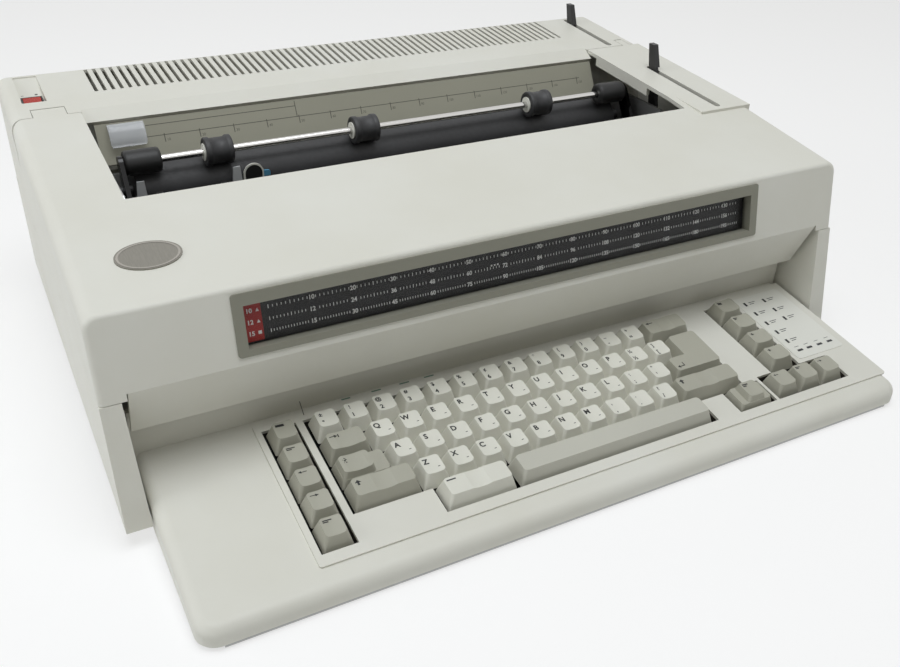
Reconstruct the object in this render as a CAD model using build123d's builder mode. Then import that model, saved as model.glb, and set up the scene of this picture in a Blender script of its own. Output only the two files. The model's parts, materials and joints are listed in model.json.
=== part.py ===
from build123d import *
from math import acos, atan2, cos, degrees, hypot, pi, radians, sin, tan
import os

os.makedirs("parts", exist_ok=True)

# An office typewriter with a print wheel, seen from the typist's side: X to the right, Y away
# from the typist, Z up. The origin is on the table, under the middle of the machine.

# Main sizes of the case
body_w = 528.0        # across the cheeks
depth = 440.0         # front of the keyboard tray to the rear wall
tray_reach = 90.0     # how far the tray stands in front of the cheeks' feet
foot_h = 12.0         # height of the rubber feet under the case
wall = 3.0            # thickness of the mouldings
seam = 0.4            # gap between two mouldings
side_x = body_w / 2
front_y = -depth / 2
foot_y = front_y + tray_reach    # line of the cheeks' feet
rear_y = depth / 2

# Side profile of the case
front_lean = 10.9     # lean of the front face, degrees from upright
belt_z = 88.0         # height of the seam round the case
front_top_z = 137.0   # top edge of the front panel
bend_reach = 150.0    # where the top surface bends, behind the cheeks' feet
front_fall = 0.130    # slope of the top in front of the bend
rear_fall = 0.068     # slope of the top behind it
edge_r = 8.0          # rounding of the long top edges
nose_edge_r = 3.0     # rounding between top and front panel
corner_r = 6.0        # rounding of the front panel's upright edges


def panel_y(z):
    """Front face of the cheeks and of the front panel at height z."""
    return foot_y + (z - foot_h) * tan(radians(front_lean))


bend_y = foot_y + bend_reach
front_top_y = panel_y(front_top_z)
bend_z = front_top_z + (bend_y - front_top_y) * front_fall


def top_z(y):
    """Top surface of the case above y."""
    if y < bend_y:
        return bend_z - (bend_y - y) * front_fall
    return bend_z + (y - bend_y) * rear_fall


rear_top_z = top_z(rear_y)

# Cheeks, overhang and tray recess
cheek_w = 14.6        # width of a cheek at its foot
cheek_top_w = 11.6    # and at its top
cheek_in_x = side_x - cheek_w
crease_z = 92.4       # lower edge of the front panel between the cheeks
tuck_z = 56.8         # lower edge of the slanted face under the panel
tuck_back = 15.0      # how far that face runs back
tuck_gap = 1.0        # side gap between that face and the cheeks
bulkhead_reach = 45.0  # front of the bulkhead behind the keyboard
bulkhead_y = foot_y + bulkhead_reach
bulkhead_z = 62.0

# Keyboard
pitch = 19.05         # distance between key centres
key_x = -4.9          # centre of the main block
key_y = foot_y - 11.6
key_z = 34.8
key_slope = 9.2       # slope of the key tops, degrees
cap_h = 10.2          # cap from its rim to its top
cap_gap = 0.8         # gap between two caps
cap_side = 2.9        # how far a cap's sides draw in
cap_front = 3.8       # how far its front draws in
cap_back = 1.6        # how far its back draws in
cap_rim_r = 1.2
cap_top_r = 2.4
dish_r = 30.0         # radius of the hollow in a cap's top
dish_sag = 0.65       # depth of that hollow
stem_w = 4.4          # square stem under a cap
stem_gap = 0.2        # gap between a stem and its hole
stem_low = 18.0       # foot of the stem under the key tops
plate_drop = 16.0     # top of the key plate under the key tops
plate_t = 3.0
curve = 0.43          # cupping of the rows

# Keyboard tray
deck_slope = 7.8      # slope of the deck, degrees
deck_z = 25.2         # deck at the middle of the keys
pad_h = 1.2           # height of the raised platform round the keys
pad_left = -179.5     # left end of the platform
pad_front = -64.0     # its front and back along the slope
pad_back = 50.0
tray_gap = 0.8        # gap between the tray and the cheeks
tray_x = cheek_in_x - tray_gap
nose_r = 7.0          # rounding of the tray's front edge
tray_corner_r = 12.0
deck_back_reach = 41.4
deck_back_y = foot_y + deck_back_reach
tray_back_t = 2.0     # thickness of the tray's upright back wall
pan_z = 2.0           # underside of the tray's floor
pan_t = 1.2
skirt_t = 1.5         # walls round the key wells
well_gap = 3.2        # gap between keys and well edge

# Paper opening and rear cover
open_left = -218.0
open_right = 208.0
open_reach = 130.0    # front rim, behind the cheeks' feet
open_y = foot_y + open_reach
split_reach = 264.0   # seam between top cover and rear cover
split_y = foot_y + split_reach
split_back = 24.0     # how far that seam comes forward down the side
split_gap = 0.7
split_step = 14.0     # upright stretch at the top of the side seam
flange_h = 9.0        # wall under the side rims of the opening
lip_back = 4.0        # where the rear cover starts to fall to the paper table
lip_reach = 7.0       # how far that lip comes forward of the seam
lip_drop = 6.0
vent_n = 67
vent_pitch = 6.1
vent_w = 2.7
vent_x = -200.6
vent_front = 35.0     # front end of the vents behind the seam
vent_rear = 6.0       # their rear end in front of the rear wall

# Lever slots
lever_x = 235.2
slot_w = 5.4
bail_slot = (122.0, 213.0)      # front and rear end, behind the cheeks' feet
release_slot = (268.0, 341.0)
lever_pin_r = 3.0
bail_lever_pivot = (foot_y + 184.0, 60.0)
release_lever_pivot = (foot_y + 307.0, 70.0)
strip_x = 214.0       # left side of the raised lever strip
strip_reach = 117.0   # its front end

# Hinge of the top cover
hinge_back = 7.0      # axis behind the seam
knuckle_r = 3.2
hinge_r = 1.5
hinge_fit = 0.05
hinge_y = split_y + hinge_back
hinge_z = top_z(hinge_y) - knuckle_r
hinge_tabs = ((-249.0, -227.0), (246.5, 253.5))    # left and right side of each tab
tab_back = 6.4        # how far a tab runs behind the axis
pin_in = 2.5          # length of a stub pin inside the knuckle
notch_rear = hinge_y + hypot(tab_back, knuckle_r) + 0.5   # clear of the tab's corner as it turns

# Display
bezel_w = 376.0
bezel_h = 37.2
bezel_rim = 6.2
bezel_top = 7.4
bezel_bottom = 4.2
bezel_proud = 1.0
bezel_deep = 8.5
bezel_fit = 0.3
bezel_mid_z = 115.2   # middle of the bezel on the panel
window_deep = 4.5     # face of the window behind the panel
window_t = 1.5
card_t = 0.8

# Platen, bail and paper path
platen_reach = 222.0
platen_y = foot_y + platen_reach
platen_z = 115.7
platen_r = 20.0
platen_half = 198.0
shaft_r = 4.0
frame_x = 214.0       # middle of a side frame
frame_t = 2.5
fit = 0.1             # radial play of shafts in the frames
bail_r = 2.5
roller_r = 10.0
roller_w = 19.0
roller_gap = 0.3
roller_x = (-140.0, -30.0, 121.0)
bail_lean = 29.7      # direction from platen to bail rod, degrees in front of upright
bail_dist = platen_r + roller_r + roller_gap
bail_y = platen_y - bail_dist * sin(radians(bail_lean))
bail_z = platen_z + bail_dist * cos(radians(bail_lean))
bail_pivot_reach = 180.0
bail_pivot_y = foot_y + bail_pivot_reach
bail_pivot_z = 100.0
bail_arm_x = 205.8     # inside the paper opening, so that the arm can swing up through it
bail_arm_t = 3.0
grip_r = 8.5
grip_in = 179.5
grip_out = 204.0
gear_teeth = 48
gear_module = 1.25
pinion_teeth = 14
gear_w = 5.0
gear_back = 0.10      # play between the pitch circles
gear_play = 0.12      # how much thinner each tooth is than half its pitch
pressure = 20.0       # slope of the tooth flanks
gear_in = 3.5         # gear outside the side frame
feed_r = 7.2
feed_w = 22.0
feed_x = (-160.0, -96.0, -32.0, 32.0, 96.0, 160.0)
feed_angle = -60.0    # direction from platen to feed rolls
feed_gap = 0.3
feed_dist = platen_r + feed_r + feed_gap
feed_y = platen_y + feed_dist * cos(radians(feed_angle))
feed_z = platen_z + feed_dist * sin(radians(feed_angle))
feed_pivot_y = foot_y + 262.0
feed_pivot_z = 82.0
feed_arm_x = 201.5
chute_gap = 1.5
chute_t = 1.2
table_top = (257.0, 153.2)      # top edge of the paper table: reach and height
table_foot = (243.5, 128.0)
table_t = 2.0

# Print carrier, at the left end of its way
carrier_x = -163.0
rail_r = 6.0
rail_z = 44.0
rail_rear_y = foot_y + 170.0
rail_front_y = foot_y + 112.0
rail_fit = 0.08
wheel_r = 36.0
wheel_z = 83.0
wheel_y = foot_y + 192.0
petal_n = 48
floor_z = 56.0
floor_t = 4.0
belt_y = foot_y + 142.0
pulley_r = 9.0
belt_z0 = 28.0
belt_h = 6.0
belt_t = 1.2
pulley_left = -238.0
pulley_right = 226.0


def on_keys(x, s, h):
    """Plane over the keys: x across, s up the slope, h above the key tops."""
    a = radians(key_slope)
    return Plane(origin=(key_x + x, key_y + s * cos(a) - h * sin(a), key_z + s * sin(a) + h * cos(a)),
                 x_dir=(1, 0, 0), z_dir=(0, -sin(a), cos(a)))


def on_deck(x, s, h=0.0):
    """Plane on the tray's deck: x across, s up the slope, h above the deck."""
    a = radians(deck_slope)
    return Plane(origin=(x, key_y + s * cos(a) - h * sin(a), deck_z + s * sin(a) + h * cos(a)),
                 x_dir=(1, 0, 0), z_dir=(0, -sin(a), cos(a)))


def row_s(row):
    """Middle of a row of keys along the slope; row 1 is the number row."""
    return (2.5 - row) * pitch


def row_lift(row):
    return curve * ((row - 2.5) ** 2 - 1.25) if row < 5 else 0.0


def col_x(col):
    """Across position of a column edge, from the middle of the main block."""
    return (col - 7.5) * pitch


def cap(x, s, w, d, lift=0.0, top=0.0, stems=(0.0,), dish=True, inset=1.0):
    """One key cap with its stem, added to the part in hand."""
    with BuildSketch(on_keys(x, s, lift - cap_h)) as rim:
        RectangleRounded(w, d, cap_rim_r)
    with BuildSketch(on_keys(x, s + (cap_front - cap_back) / 2 * inset, lift + top)) as face:
        RectangleRounded(w - 2 * cap_side * inset, d - (cap_front + cap_back) * inset, cap_top_r)
    loft([rim.sketch.face(), face.sketch.face()])
    if dish:
        with Locations(on_keys(x, s, lift + top - dish_sag + dish_r)):
            Cylinder(dish_r, d, rotation=(90, 0, 0), mode=Mode.SUBTRACT)
    for dx in stems:
        with BuildSketch(on_keys(x + dx, s, -stem_low)) as foot:
            Rectangle(stem_w, stem_w)
        extrude(foot.sketch, amount=stem_low - cap_h + lift + 0.5)


key_d = pitch - cap_gap


def unit_row(row, first, count):
    for i in range(count):
        cap(col_x(first + i + 0.5), row_s(row), key_d, key_d, row_lift(row))


# Every stem's place, for the holes in the key plate
space_cols = (5.15, 12.85)
code_cols = (2.6, 5.05)
side_pitch = 20.6
side_row_x = 186.0 - key_x
side_col_x = 180.5 - key_x
side_col_s = (31.1, 12.7, -5.7, -24.1)
side_row_s = -46.5
left_x = -164.8 - key_x
step_cols = (14.1, 15.6)
stems = []
for row, first, count in ((1, 0, 13), (2, 1.5, 12), (3, 1.75, 11), (4, 2.25, 10)):
    stems += [(col_x(first + i + 0.5), row_s(row)) for i in range(count)]
wide = {
    "key_backspace": (1, 13, 15),
    "key_tab": (2, 0, 1.5),
    "key_lock": (3, 0, 1.75),
    "key_shift_left": (4, 0, 2.25),
    "key_shift_right": (4, 12.25, 15),
}


def mid(a, b):
    return (col_x(a) + col_x(b)) / 2


def span(a, b):
    return (b - a) * pitch - cap_gap


space_stem = 55.0
stems += [(mid(a, b), row_s(r)) for r, a, b in wide.values()]
stems += [(mid(13.5, 15), row_s(2.5))]
stems += [(mid(*code_cols), row_s(5)), (mid(*step_cols), row_s(5))]
stems += [(mid(*space_cols) + dx, row_s(5)) for dx in (-space_stem, 0, space_stem)]
stems += [(left_x, row_s(r)) for r in (1, 2, 3, 4, 5)]
stems += [(side_col_x, s) for s in side_col_s]
stems += [(side_row_x + dx, side_row_s) for dx in (-side_pitch, 0, side_pitch)]

# Key caps: the letter and figure keys, a node to a row
with BuildPart() as keys_row_1:
    unit_row(1, 0, 13)
with BuildPart() as keys_row_2:
    unit_row(2, 1.5, 12)
with BuildPart() as keys_row_3:
    unit_row(3, 1.75, 11)
with BuildPart() as keys_row_4:
    unit_row(4, 2.25, 10)

# The wide keys
with BuildPart() as key_backspace:
    cap(mid(13, 15), row_s(1), span(13, 15), key_d, row_lift(1))
with BuildPart() as key_tab:
    cap(mid(0, 1.5), row_s(2), span(0, 1.5), key_d, row_lift(2))
with BuildPart() as key_lock:
    cap(mid(0, 1.75), row_s(3), span(0, 1.75), key_d, row_lift(3), top=-4.5, dish=False, inset=0.5)
    cap(mid(0, 1.3), row_s(3), span(0, 1.3), key_d, row_lift(3), stems=())
with BuildPart() as key_shift_left:
    cap(mid(0, 2.25), row_s(4), span(0, 2.25), key_d, row_lift(4))
with BuildPart() as key_shift_right:
    cap(mid(12.25, 15), row_s(4), span(12.25, 15), key_d, row_lift(4))
with BuildPart() as key_return:
    cap(mid(13.5, 15), row_s(2.5), span(13.5, 15), key_d + pitch, row_lift(2), dish=False)
    cap(mid(12.75, 15), row_s(3), span(12.75, 15), key_d, row_lift(2), stems=(), dish=False)
with BuildPart() as key_code:
    cap(mid(*code_cols), row_s(5), span(*code_cols), key_d)
with BuildPart() as spacebar:
    cap(mid(*space_cols), row_s(5), span(*space_cols), key_d, stems=(-space_stem, 0, space_stem), dish=False)
with BuildPart() as key_step:
    cap(mid(*step_cols), row_s(5), span(*step_cols), key_d, top=-4.5, dish=False, inset=0.5)
    cap(mid(*step_cols), row_s(5), key_d, key_d, stems=())

# The column of keys on the left, and the two groups on the right
with BuildPart() as keys_left:
    for row in (1, 2, 3, 4, 5):
        cap(left_x, row_s(row), key_d, key_d, row_lift(row))
with BuildPart() as keys_right_column:
    for s in side_col_s:
        cap(side_col_x, s, 1.2 * pitch - cap_gap, side_col_s[0] - side_col_s[1] - cap_gap, -1.5)
with BuildPart() as keys_right_row:
    for dx in (-side_pitch, 0, side_pitch):
        cap(side_row_x + dx, side_row_s, side_pitch - cap_gap, key_d, -1.5)

# Key plate with a square hole for each stem
plate_left = -179.0 - key_x
plate_right = 222.0 - key_x
plate_front = -62.0
plate_back = 45.0
with BuildPart() as key_plate:
    with BuildSketch(on_keys((plate_left + plate_right) / 2, (plate_front + plate_back) / 2, -plate_drop)):
        Rectangle(plate_right - plate_left, plate_back - plate_front)
    extrude(amount=-plate_t)
    with BuildSketch(on_keys(0, 0, -plate_drop)):
        for x, s in stems:
            with Locations((x, s)):
                Rectangle(stem_w + 2 * stem_gap, stem_w + 2 * stem_gap)
    extrude(amount=-plate_t, mode=Mode.SUBTRACT)

# Outlines of the key wells on the slope of the keys: left, front, right, back
half = key_d / 2
row_back = row_s(1) + half + well_gap
row_front = row_s(4) - half - 1.2
low_front = row_s(5) - half - 1.2
wells = [
    (left_x - half - 1.7, low_front, left_x + half + 1.7, row_back),
    (col_x(0) - 1.7, row_front, col_x(15) + 1.7, row_back),
    (col_x(code_cols[0]) - 1.5, low_front, col_x(space_cols[1]) + 3.0, row_front + 2),
    (col_x(step_cols[0]) - 1.8, low_front, col_x(step_cols[1]) + 1.8, row_front + 2),
    (side_col_x - 0.6 * pitch - 2.2, side_row_s + half + 1.5, side_col_x + 0.6 * pitch + 1.8, row_back - 1.0),
    (side_row_x - 1.5 * side_pitch - 1.6, low_front, side_row_x + 1.5 * side_pitch + 1.6, side_row_s + half + 3.0),
]


def well_sketch(grow):
    for x0, s0, x1, s1 in wells:
        with Locations(((x0 + x1) / 2, (s0 + s1) / 2)):
            Rectangle(x1 - x0 + 2 * grow, s1 - s0 + 2 * grow)


# Tray moulding: sloped deck, rounded nose, upright back wall, raised platform, key wells
deck_tan = tan(radians(deck_slope))
with BuildPart() as keyboard_tray:
    with BuildSketch(Plane.YZ):
        with BuildLine():
            Polyline(
                (front_y, pan_z + pan_t),
                (front_y, deck_z + (front_y - key_y) * deck_tan),
                (deck_back_y, deck_z + (deck_back_y - key_y) * deck_tan),
                (deck_back_y, bulkhead_z),
                (deck_back_y + tray_back_t, bulkhead_z),
                (deck_back_y + tray_back_t, pan_z + pan_t),
                close=True,
            )
        make_face()
    extrude(amount=tray_x, both=True)
    fillet(edges().filter_by(Axis.Z).group_by(Axis.Y)[0], tray_corner_r)
    nose = edges().filter_by(lambda e: e.bounding_box().max.Y < front_y + tray_corner_r + 0.5
                             and e.bounding_box().min.Z > pan_z + pan_t + 2.0)
    fillet(nose.filter_by(lambda e: abs(e.bounding_box().size.Z) < 3.0), nose_r)
    with BuildSketch(Plane.YZ):
        with BuildLine():
            Polyline(
                (front_y + wall, pan_z),
                (front_y + wall, deck_z - wall + (front_y - key_y) * deck_tan - 1.5),
                (front_y + nose_r + 3, deck_z - wall + (front_y + nose_r + 3 - key_y) * deck_tan),
                (deck_back_y, deck_z - wall + (deck_back_y - key_y) * deck_tan),
                (deck_back_y, pan_z),
                close=True,
            )
        make_face()
    extrude(amount=tray_x - wall, both=True, mode=Mode.SUBTRACT)
    with BuildSketch(on_deck((pad_left + tray_x - 1) / 2, (pad_front + pad_back) / 2)):
        RectangleRounded(tray_x - 1 - pad_left, pad_back - pad_front, 2.0)
    extrude(amount=pad_h)
    with BuildSketch(on_keys(0, 0, -plate_drop)):
        well_sketch(skirt_t)
    extrude(amount=plate_drop - 9.6)
    with BuildSketch(on_keys(0, 0, -plate_drop)):
        well_sketch(0.0)
    extrude(amount=plate_drop, mode=Mode.SUBTRACT)

# Steel floor of the tray, with an upright flange screwed to the case
with BuildPart() as tray_floor:
    with BuildSketch(Plane.XY.offset(pan_z)):
        with Locations((0, (front_y + 1.5 + bulkhead_y) / 2)):
            Rectangle(2 * tray_x - 2, bulkhead_y - front_y - 1.5)
    extrude(amount=pan_t)
    fillet(edges().filter_by(Axis.Z).group_by(Axis.Y)[0], tray_corner_r - 1.5)
    with BuildSketch(Plane.XY.offset(pan_z)):
        with Locations((0, bulkhead_y - pan_t / 2)):
            Rectangle(2 * tray_x - 40, pan_t)
    extrude(amount=bulkhead_z - 10 - pan_z)

# Lower case: floor, side walls, rear wall, and the two cheeks beside the keyboard
slope_wall = wall / cos(radians(front_lean))
with BuildPart() as lower_case:
    with BuildSketch(Plane.YZ):
        with BuildLine():
            Polyline((panel_y(foot_h), foot_h), (panel_y(belt_z), belt_z), (rear_y, belt_z),
                     (rear_y, foot_h), close=True)
        make_face()
    extrude(amount=side_x, both=True)
    with BuildSketch(Plane.XY.offset(foot_h + wall)):
        with Locations((0, (bulkhead_y + wall + rear_y - wall) / 2)):
            Rectangle(body_w - 2 * wall, rear_y - bulkhead_y - 2 * wall)
    extrude(amount=belt_z, mode=Mode.SUBTRACT)
    with BuildSketch(Plane.XY):
        with Locations((0, (front_y + bulkhead_y) / 2)):
            Rectangle(2 * cheek_in_x, bulkhead_y - front_y)
    extrude(amount=belt_z + 1, mode=Mode.SUBTRACT)
    with BuildSketch(Plane.XY.offset(bulkhead_z)):
        with Locations((0, bulkhead_y + wall / 2)):
            Rectangle(2 * cheek_in_x, wall + 0.2)
    extrude(amount=belt_z, mode=Mode.SUBTRACT)
    # the cheeks are hollow from behind and draw in towards their tops
    with BuildSketch(Plane.YZ.offset(cheek_in_x + wall)):
        with BuildLine():
            Polyline((panel_y(foot_h + wall) + slope_wall, foot_h + wall),
                     (panel_y(belt_z - wall) + slope_wall, belt_z - wall),
                     (bulkhead_y + wall + 1, belt_z - wall), (bulkhead_y + wall + 1, foot_h + wall),
                     close=True)
        make_face()
    extrude(amount=cheek_w - 2 * wall, mode=Mode.SUBTRACT)
    with BuildSketch(Plane.YZ.offset(-cheek_in_x - wall)):
        with BuildLine():
            Polyline((panel_y(foot_h + wall) + slope_wall, foot_h + wall),
                     (panel_y(belt_z - wall) + slope_wall, belt_z - wall),
                     (bulkhead_y + wall + 1, belt_z - wall), (bulkhead_y + wall + 1, foot_h + wall),
                     close=True)
        make_face()
    extrude(amount=-(cheek_w - 2 * wall), mode=Mode.SUBTRACT)
    with BuildSketch(Plane.XZ.offset(-front_y)):
        for side in (-1, 1):
            with BuildLine():
                Polyline((side * cheek_in_x, foot_h - 1), (side * (side_x - cheek_top_w), belt_z + 1),
                         (side * (cheek_in_x - 1), belt_z + 1), (side * (cheek_in_x - 1), foot_h - 1),
                         close=True)
            make_face()
    extrude(amount=-(bulkhead_y - front_y), mode=Mode.SUBTRACT)
    # hole for the mains inlet, and air slots in the floor
    inlet_x, inlet_z, inlet_w, inlet_h = -196.0, 44.0, 27.4, 20.0
    with BuildSketch(Plane.XZ.offset(-rear_y - 1)):
        with Locations((inlet_x, inlet_z)):
            Rectangle(inlet_w, inlet_h)
    extrude(amount=wall + 2, mode=Mode.SUBTRACT)
    with BuildSketch(Plane.XY.offset(foot_h - 1)):
        with Locations((0, foot_y + 290)):
            with GridLocations(14, 1, 12, 1):
                SlotOverall(50, 5, rotation=90)
    extrude(amount=wall + 2, mode=Mode.SUBTRACT)

# Rubber feet: four under the case, two under the front of the tray
foot_r = 11.0
with BuildPart() as feet:
    with Locations(*[(x, y, 0) for x in (-230, 230) for y in (foot_y + 70, rear_y - 30)]):
        Cone(foot_r - 1.5, foot_r, foot_h, align=(Align.CENTER, Align.CENTER, Align.MIN))
    with Locations(*[(x, front_y + 22, 0) for x in (-215, 215)]):
        Cylinder(8, pan_z, align=(Align.CENTER, Align.CENTER, Align.MIN))


def top_line(y0, y1, drop=0.0):
    """Points of the top surface from y0 back to y1, lowered by drop."""
    ys = [y0] + ([bend_y] if y0 < bend_y < y1 else []) + [y1]
    return [(y, top_z(y) - drop) for y in ys]


# Top cover: front panel, slanted tuck under it, top with the paper opening, and two side arms that
# reach back to the hinge. The lever strip on the right stays flat where the top falls away.
cover_low = belt_z + seam
open_w = open_right - open_left
open_mid = (open_right + open_left) / 2
split_low_y = split_y - split_back
with BuildPart() as top_cover:
    with BuildSketch(Plane.YZ):
        with BuildLine():
            Polyline((panel_y(cover_low), cover_low), (front_top_y, front_top_z),
                     *top_line(front_top_y + 0.001, split_y)[1:], (split_y, top_z(split_y) - split_step),
                     (split_low_y, cover_low), close=True)
        make_face()
    extrude(amount=side_x, both=True)
    long_edges = edges().filter_by(lambda e: abs(abs(e.center().X) - side_x) < 0.01
                                   and e.bounding_box().min.Z > front_top_z - 1)
    fillet(long_edges, edge_r)
    fillet(edges().filter_by(lambda e: e.length > body_w - 2 * edge_r - 2
                             and abs(e.center().Z - front_top_z) < 1
                             and abs(e.center().Y - front_top_y) < 1), nose_edge_r)
    # lever strip
    with BuildSketch(Plane.YZ.offset(strip_x)):
        with BuildLine():
            strip_y = foot_y + strip_reach
            Polyline((strip_y, top_z(strip_y) - wall),
                     (strip_y, bend_z - (bend_y - strip_y) * rear_fall),
                     (split_y, top_z(split_y)), (split_y, top_z(split_y) - wall),
                     (bend_y, bend_z - wall), close=True)
        make_face()
    extrude(amount=side_x - strip_x - 1.2)
    # inside
    with BuildSketch(Plane.YZ):
        with BuildLine():
            Polyline((panel_y(cover_low - 5) + slope_wall, cover_low - 5),
                     (panel_y(front_top_z - wall) + slope_wall, front_top_z - wall + 0.3),
                     *top_line(front_top_y + 5, split_y + 5, wall)[1:], (split_y + 5, cover_low - 5),
                     close=True)
        make_face()
    extrude(amount=side_x - wall, both=True, mode=Mode.SUBTRACT)
    # paper opening, open towards the rear cover
    with BuildSketch(Plane.XY.offset(cover_low)):
        with Locations((open_mid, (open_y + split_y + 10) / 2)):
            Rectangle(open_w, split_y + 10 - open_y)
    extrude(amount=rear_top_z, mode=Mode.SUBTRACT)
    # walls under the side rims of the opening
    for x0, reach in ((open_left - wall, 150.0), (open_right, 178.0)):
        with BuildSketch(Plane.YZ.offset(x0)):
            with BuildLine():
                y0 = foot_y + reach
                Polyline((y0, top_z(y0) - 1), (split_y - 14, top_z(split_y - 14) - 1),
                         (split_y - 14, top_z(split_y - 14) - flange_h), (y0, top_z(y0) - flange_h),
                         close=True)
            make_face()
        extrude(amount=wall)
    # the middle of the panel ends at a crease, and a slanted face runs back from there
    with BuildSketch(Plane.XY.offset(cover_low - 1)):
        with Locations((0, foot_y + 20)):
            Rectangle(2 * (cheek_in_x - tuck_gap) + 1.6, 20)
    extrude(amount=crease_z - cover_low + 1, mode=Mode.SUBTRACT)
    with BuildSketch(Plane.YZ):
        with BuildLine():
            y1 = panel_y(crease_z)
            Polyline((y1, crease_z), (y1 + tuck_back, tuck_z), (y1 + tuck_back + wall, tuck_z),
                     (y1 + wall + 0.4, crease_z + 4), (panel_y(crease_z + 4) + 0.2, crease_z + 4),
                     close=True)
        make_face()
    extrude(amount=cheek_in_x - tuck_gap, both=True)
    # hole for the display bezel
    panel = Plane(origin=(0, panel_y(bezel_mid_z), bezel_mid_z), x_dir=(1, 0, 0),
                  z_dir=(0, -cos(radians(front_lean)), sin(radians(front_lean))))
    with BuildSketch(panel.offset(5)):
        Rectangle(bezel_w + 2 * bezel_fit - 2 * wall, bezel_h + 2 * bezel_fit - 2 * wall)
    extrude(amount=-15, mode=Mode.SUBTRACT)
    # slot for the bail lever
    with BuildSketch(Plane.XY.offset(cover_low)):
        with Locations((lever_x, foot_y + sum(bail_slot) / 2)):
            SlotOverall(bail_slot[1] - bail_slot[0], slot_w, rotation=90)
    extrude(amount=rear_top_z, mode=Mode.SUBTRACT)
    # hinge tabs that end in a knuckle, behind the seam
    for x0, x1 in hinge_tabs:
        with BuildSketch(Plane.YZ.offset(x0)):
            with BuildLine():
                y1 = hinge_y + tab_back
                Polyline((split_y - 8, top_z(split_y - 8)), (y1, top_z(y1)), (y1, top_z(y1) - 2 * knuckle_r),
                         (split_y - 8, top_z(split_y - 8) - 2 * knuckle_r), close=True)
            make_face()
            with Locations((hinge_y, hinge_z)):
                Circle(knuckle_r)
        extrude(amount=x1 - x0)
        with BuildSketch(Plane.YZ.offset(x0)):
            with Locations((hinge_y, hinge_z)):
                Circle(hinge_r + hinge_fit)
        extrude(amount=x1 - x0, mode=Mode.SUBTRACT)

# Display: bezel, window and the scale card behind it
with BuildPart() as display_bezel:
    with BuildSketch(panel.offset(0.0)):
        RectangleRounded(bezel_w, bezel_h, 2.0)
    extrude(amount=bezel_proud)
    with BuildSketch(panel):
        Rectangle(bezel_w - 2 * wall, bezel_h - 2 * wall)
    extrude(amount=-bezel_deep)
    with BuildSketch(panel.offset(bezel_proud)):
        with Locations((0, (bezel_bottom - bezel_top) / 2)):
            Rectangle(bezel_w - 2 * bezel_rim, bezel_h - bezel_top - bezel_bottom)
    extrude(amount=-bezel_proud - bezel_deep, mode=Mode.SUBTRACT)
win_w = bezel_w - 2 * bezel_rim
win_h = bezel_h - bezel_top - bezel_bottom
win_mid = (bezel_bottom - bezel_top) / 2
with BuildPart() as display_window:
    with BuildSketch(panel.offset(-window_deep)):
        with Locations((0, win_mid)):
            Rectangle(win_w, win_h)
    extrude(amount=-window_t)
with BuildPart() as scale_card:
    with BuildSketch(panel.offset(-window_deep - window_t)):
        with Locations((0, win_mid)):
            Rectangle(win_w, win_h)
    extrude(amount=-card_t)

# Oval badge, bare
badge_y = foot_y + 68.0
badge_x = -219.0
badge_t = 0.8
with BuildPart() as badge:
    with BuildSketch(Plane(origin=(badge_x, badge_y, top_z(badge_y)), x_dir=(1, 0, 0),
                           z_dir=(0, -front_fall, 1))):
        Ellipse(18.5, 13.5)
    extrude(amount=badge_t)

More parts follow.
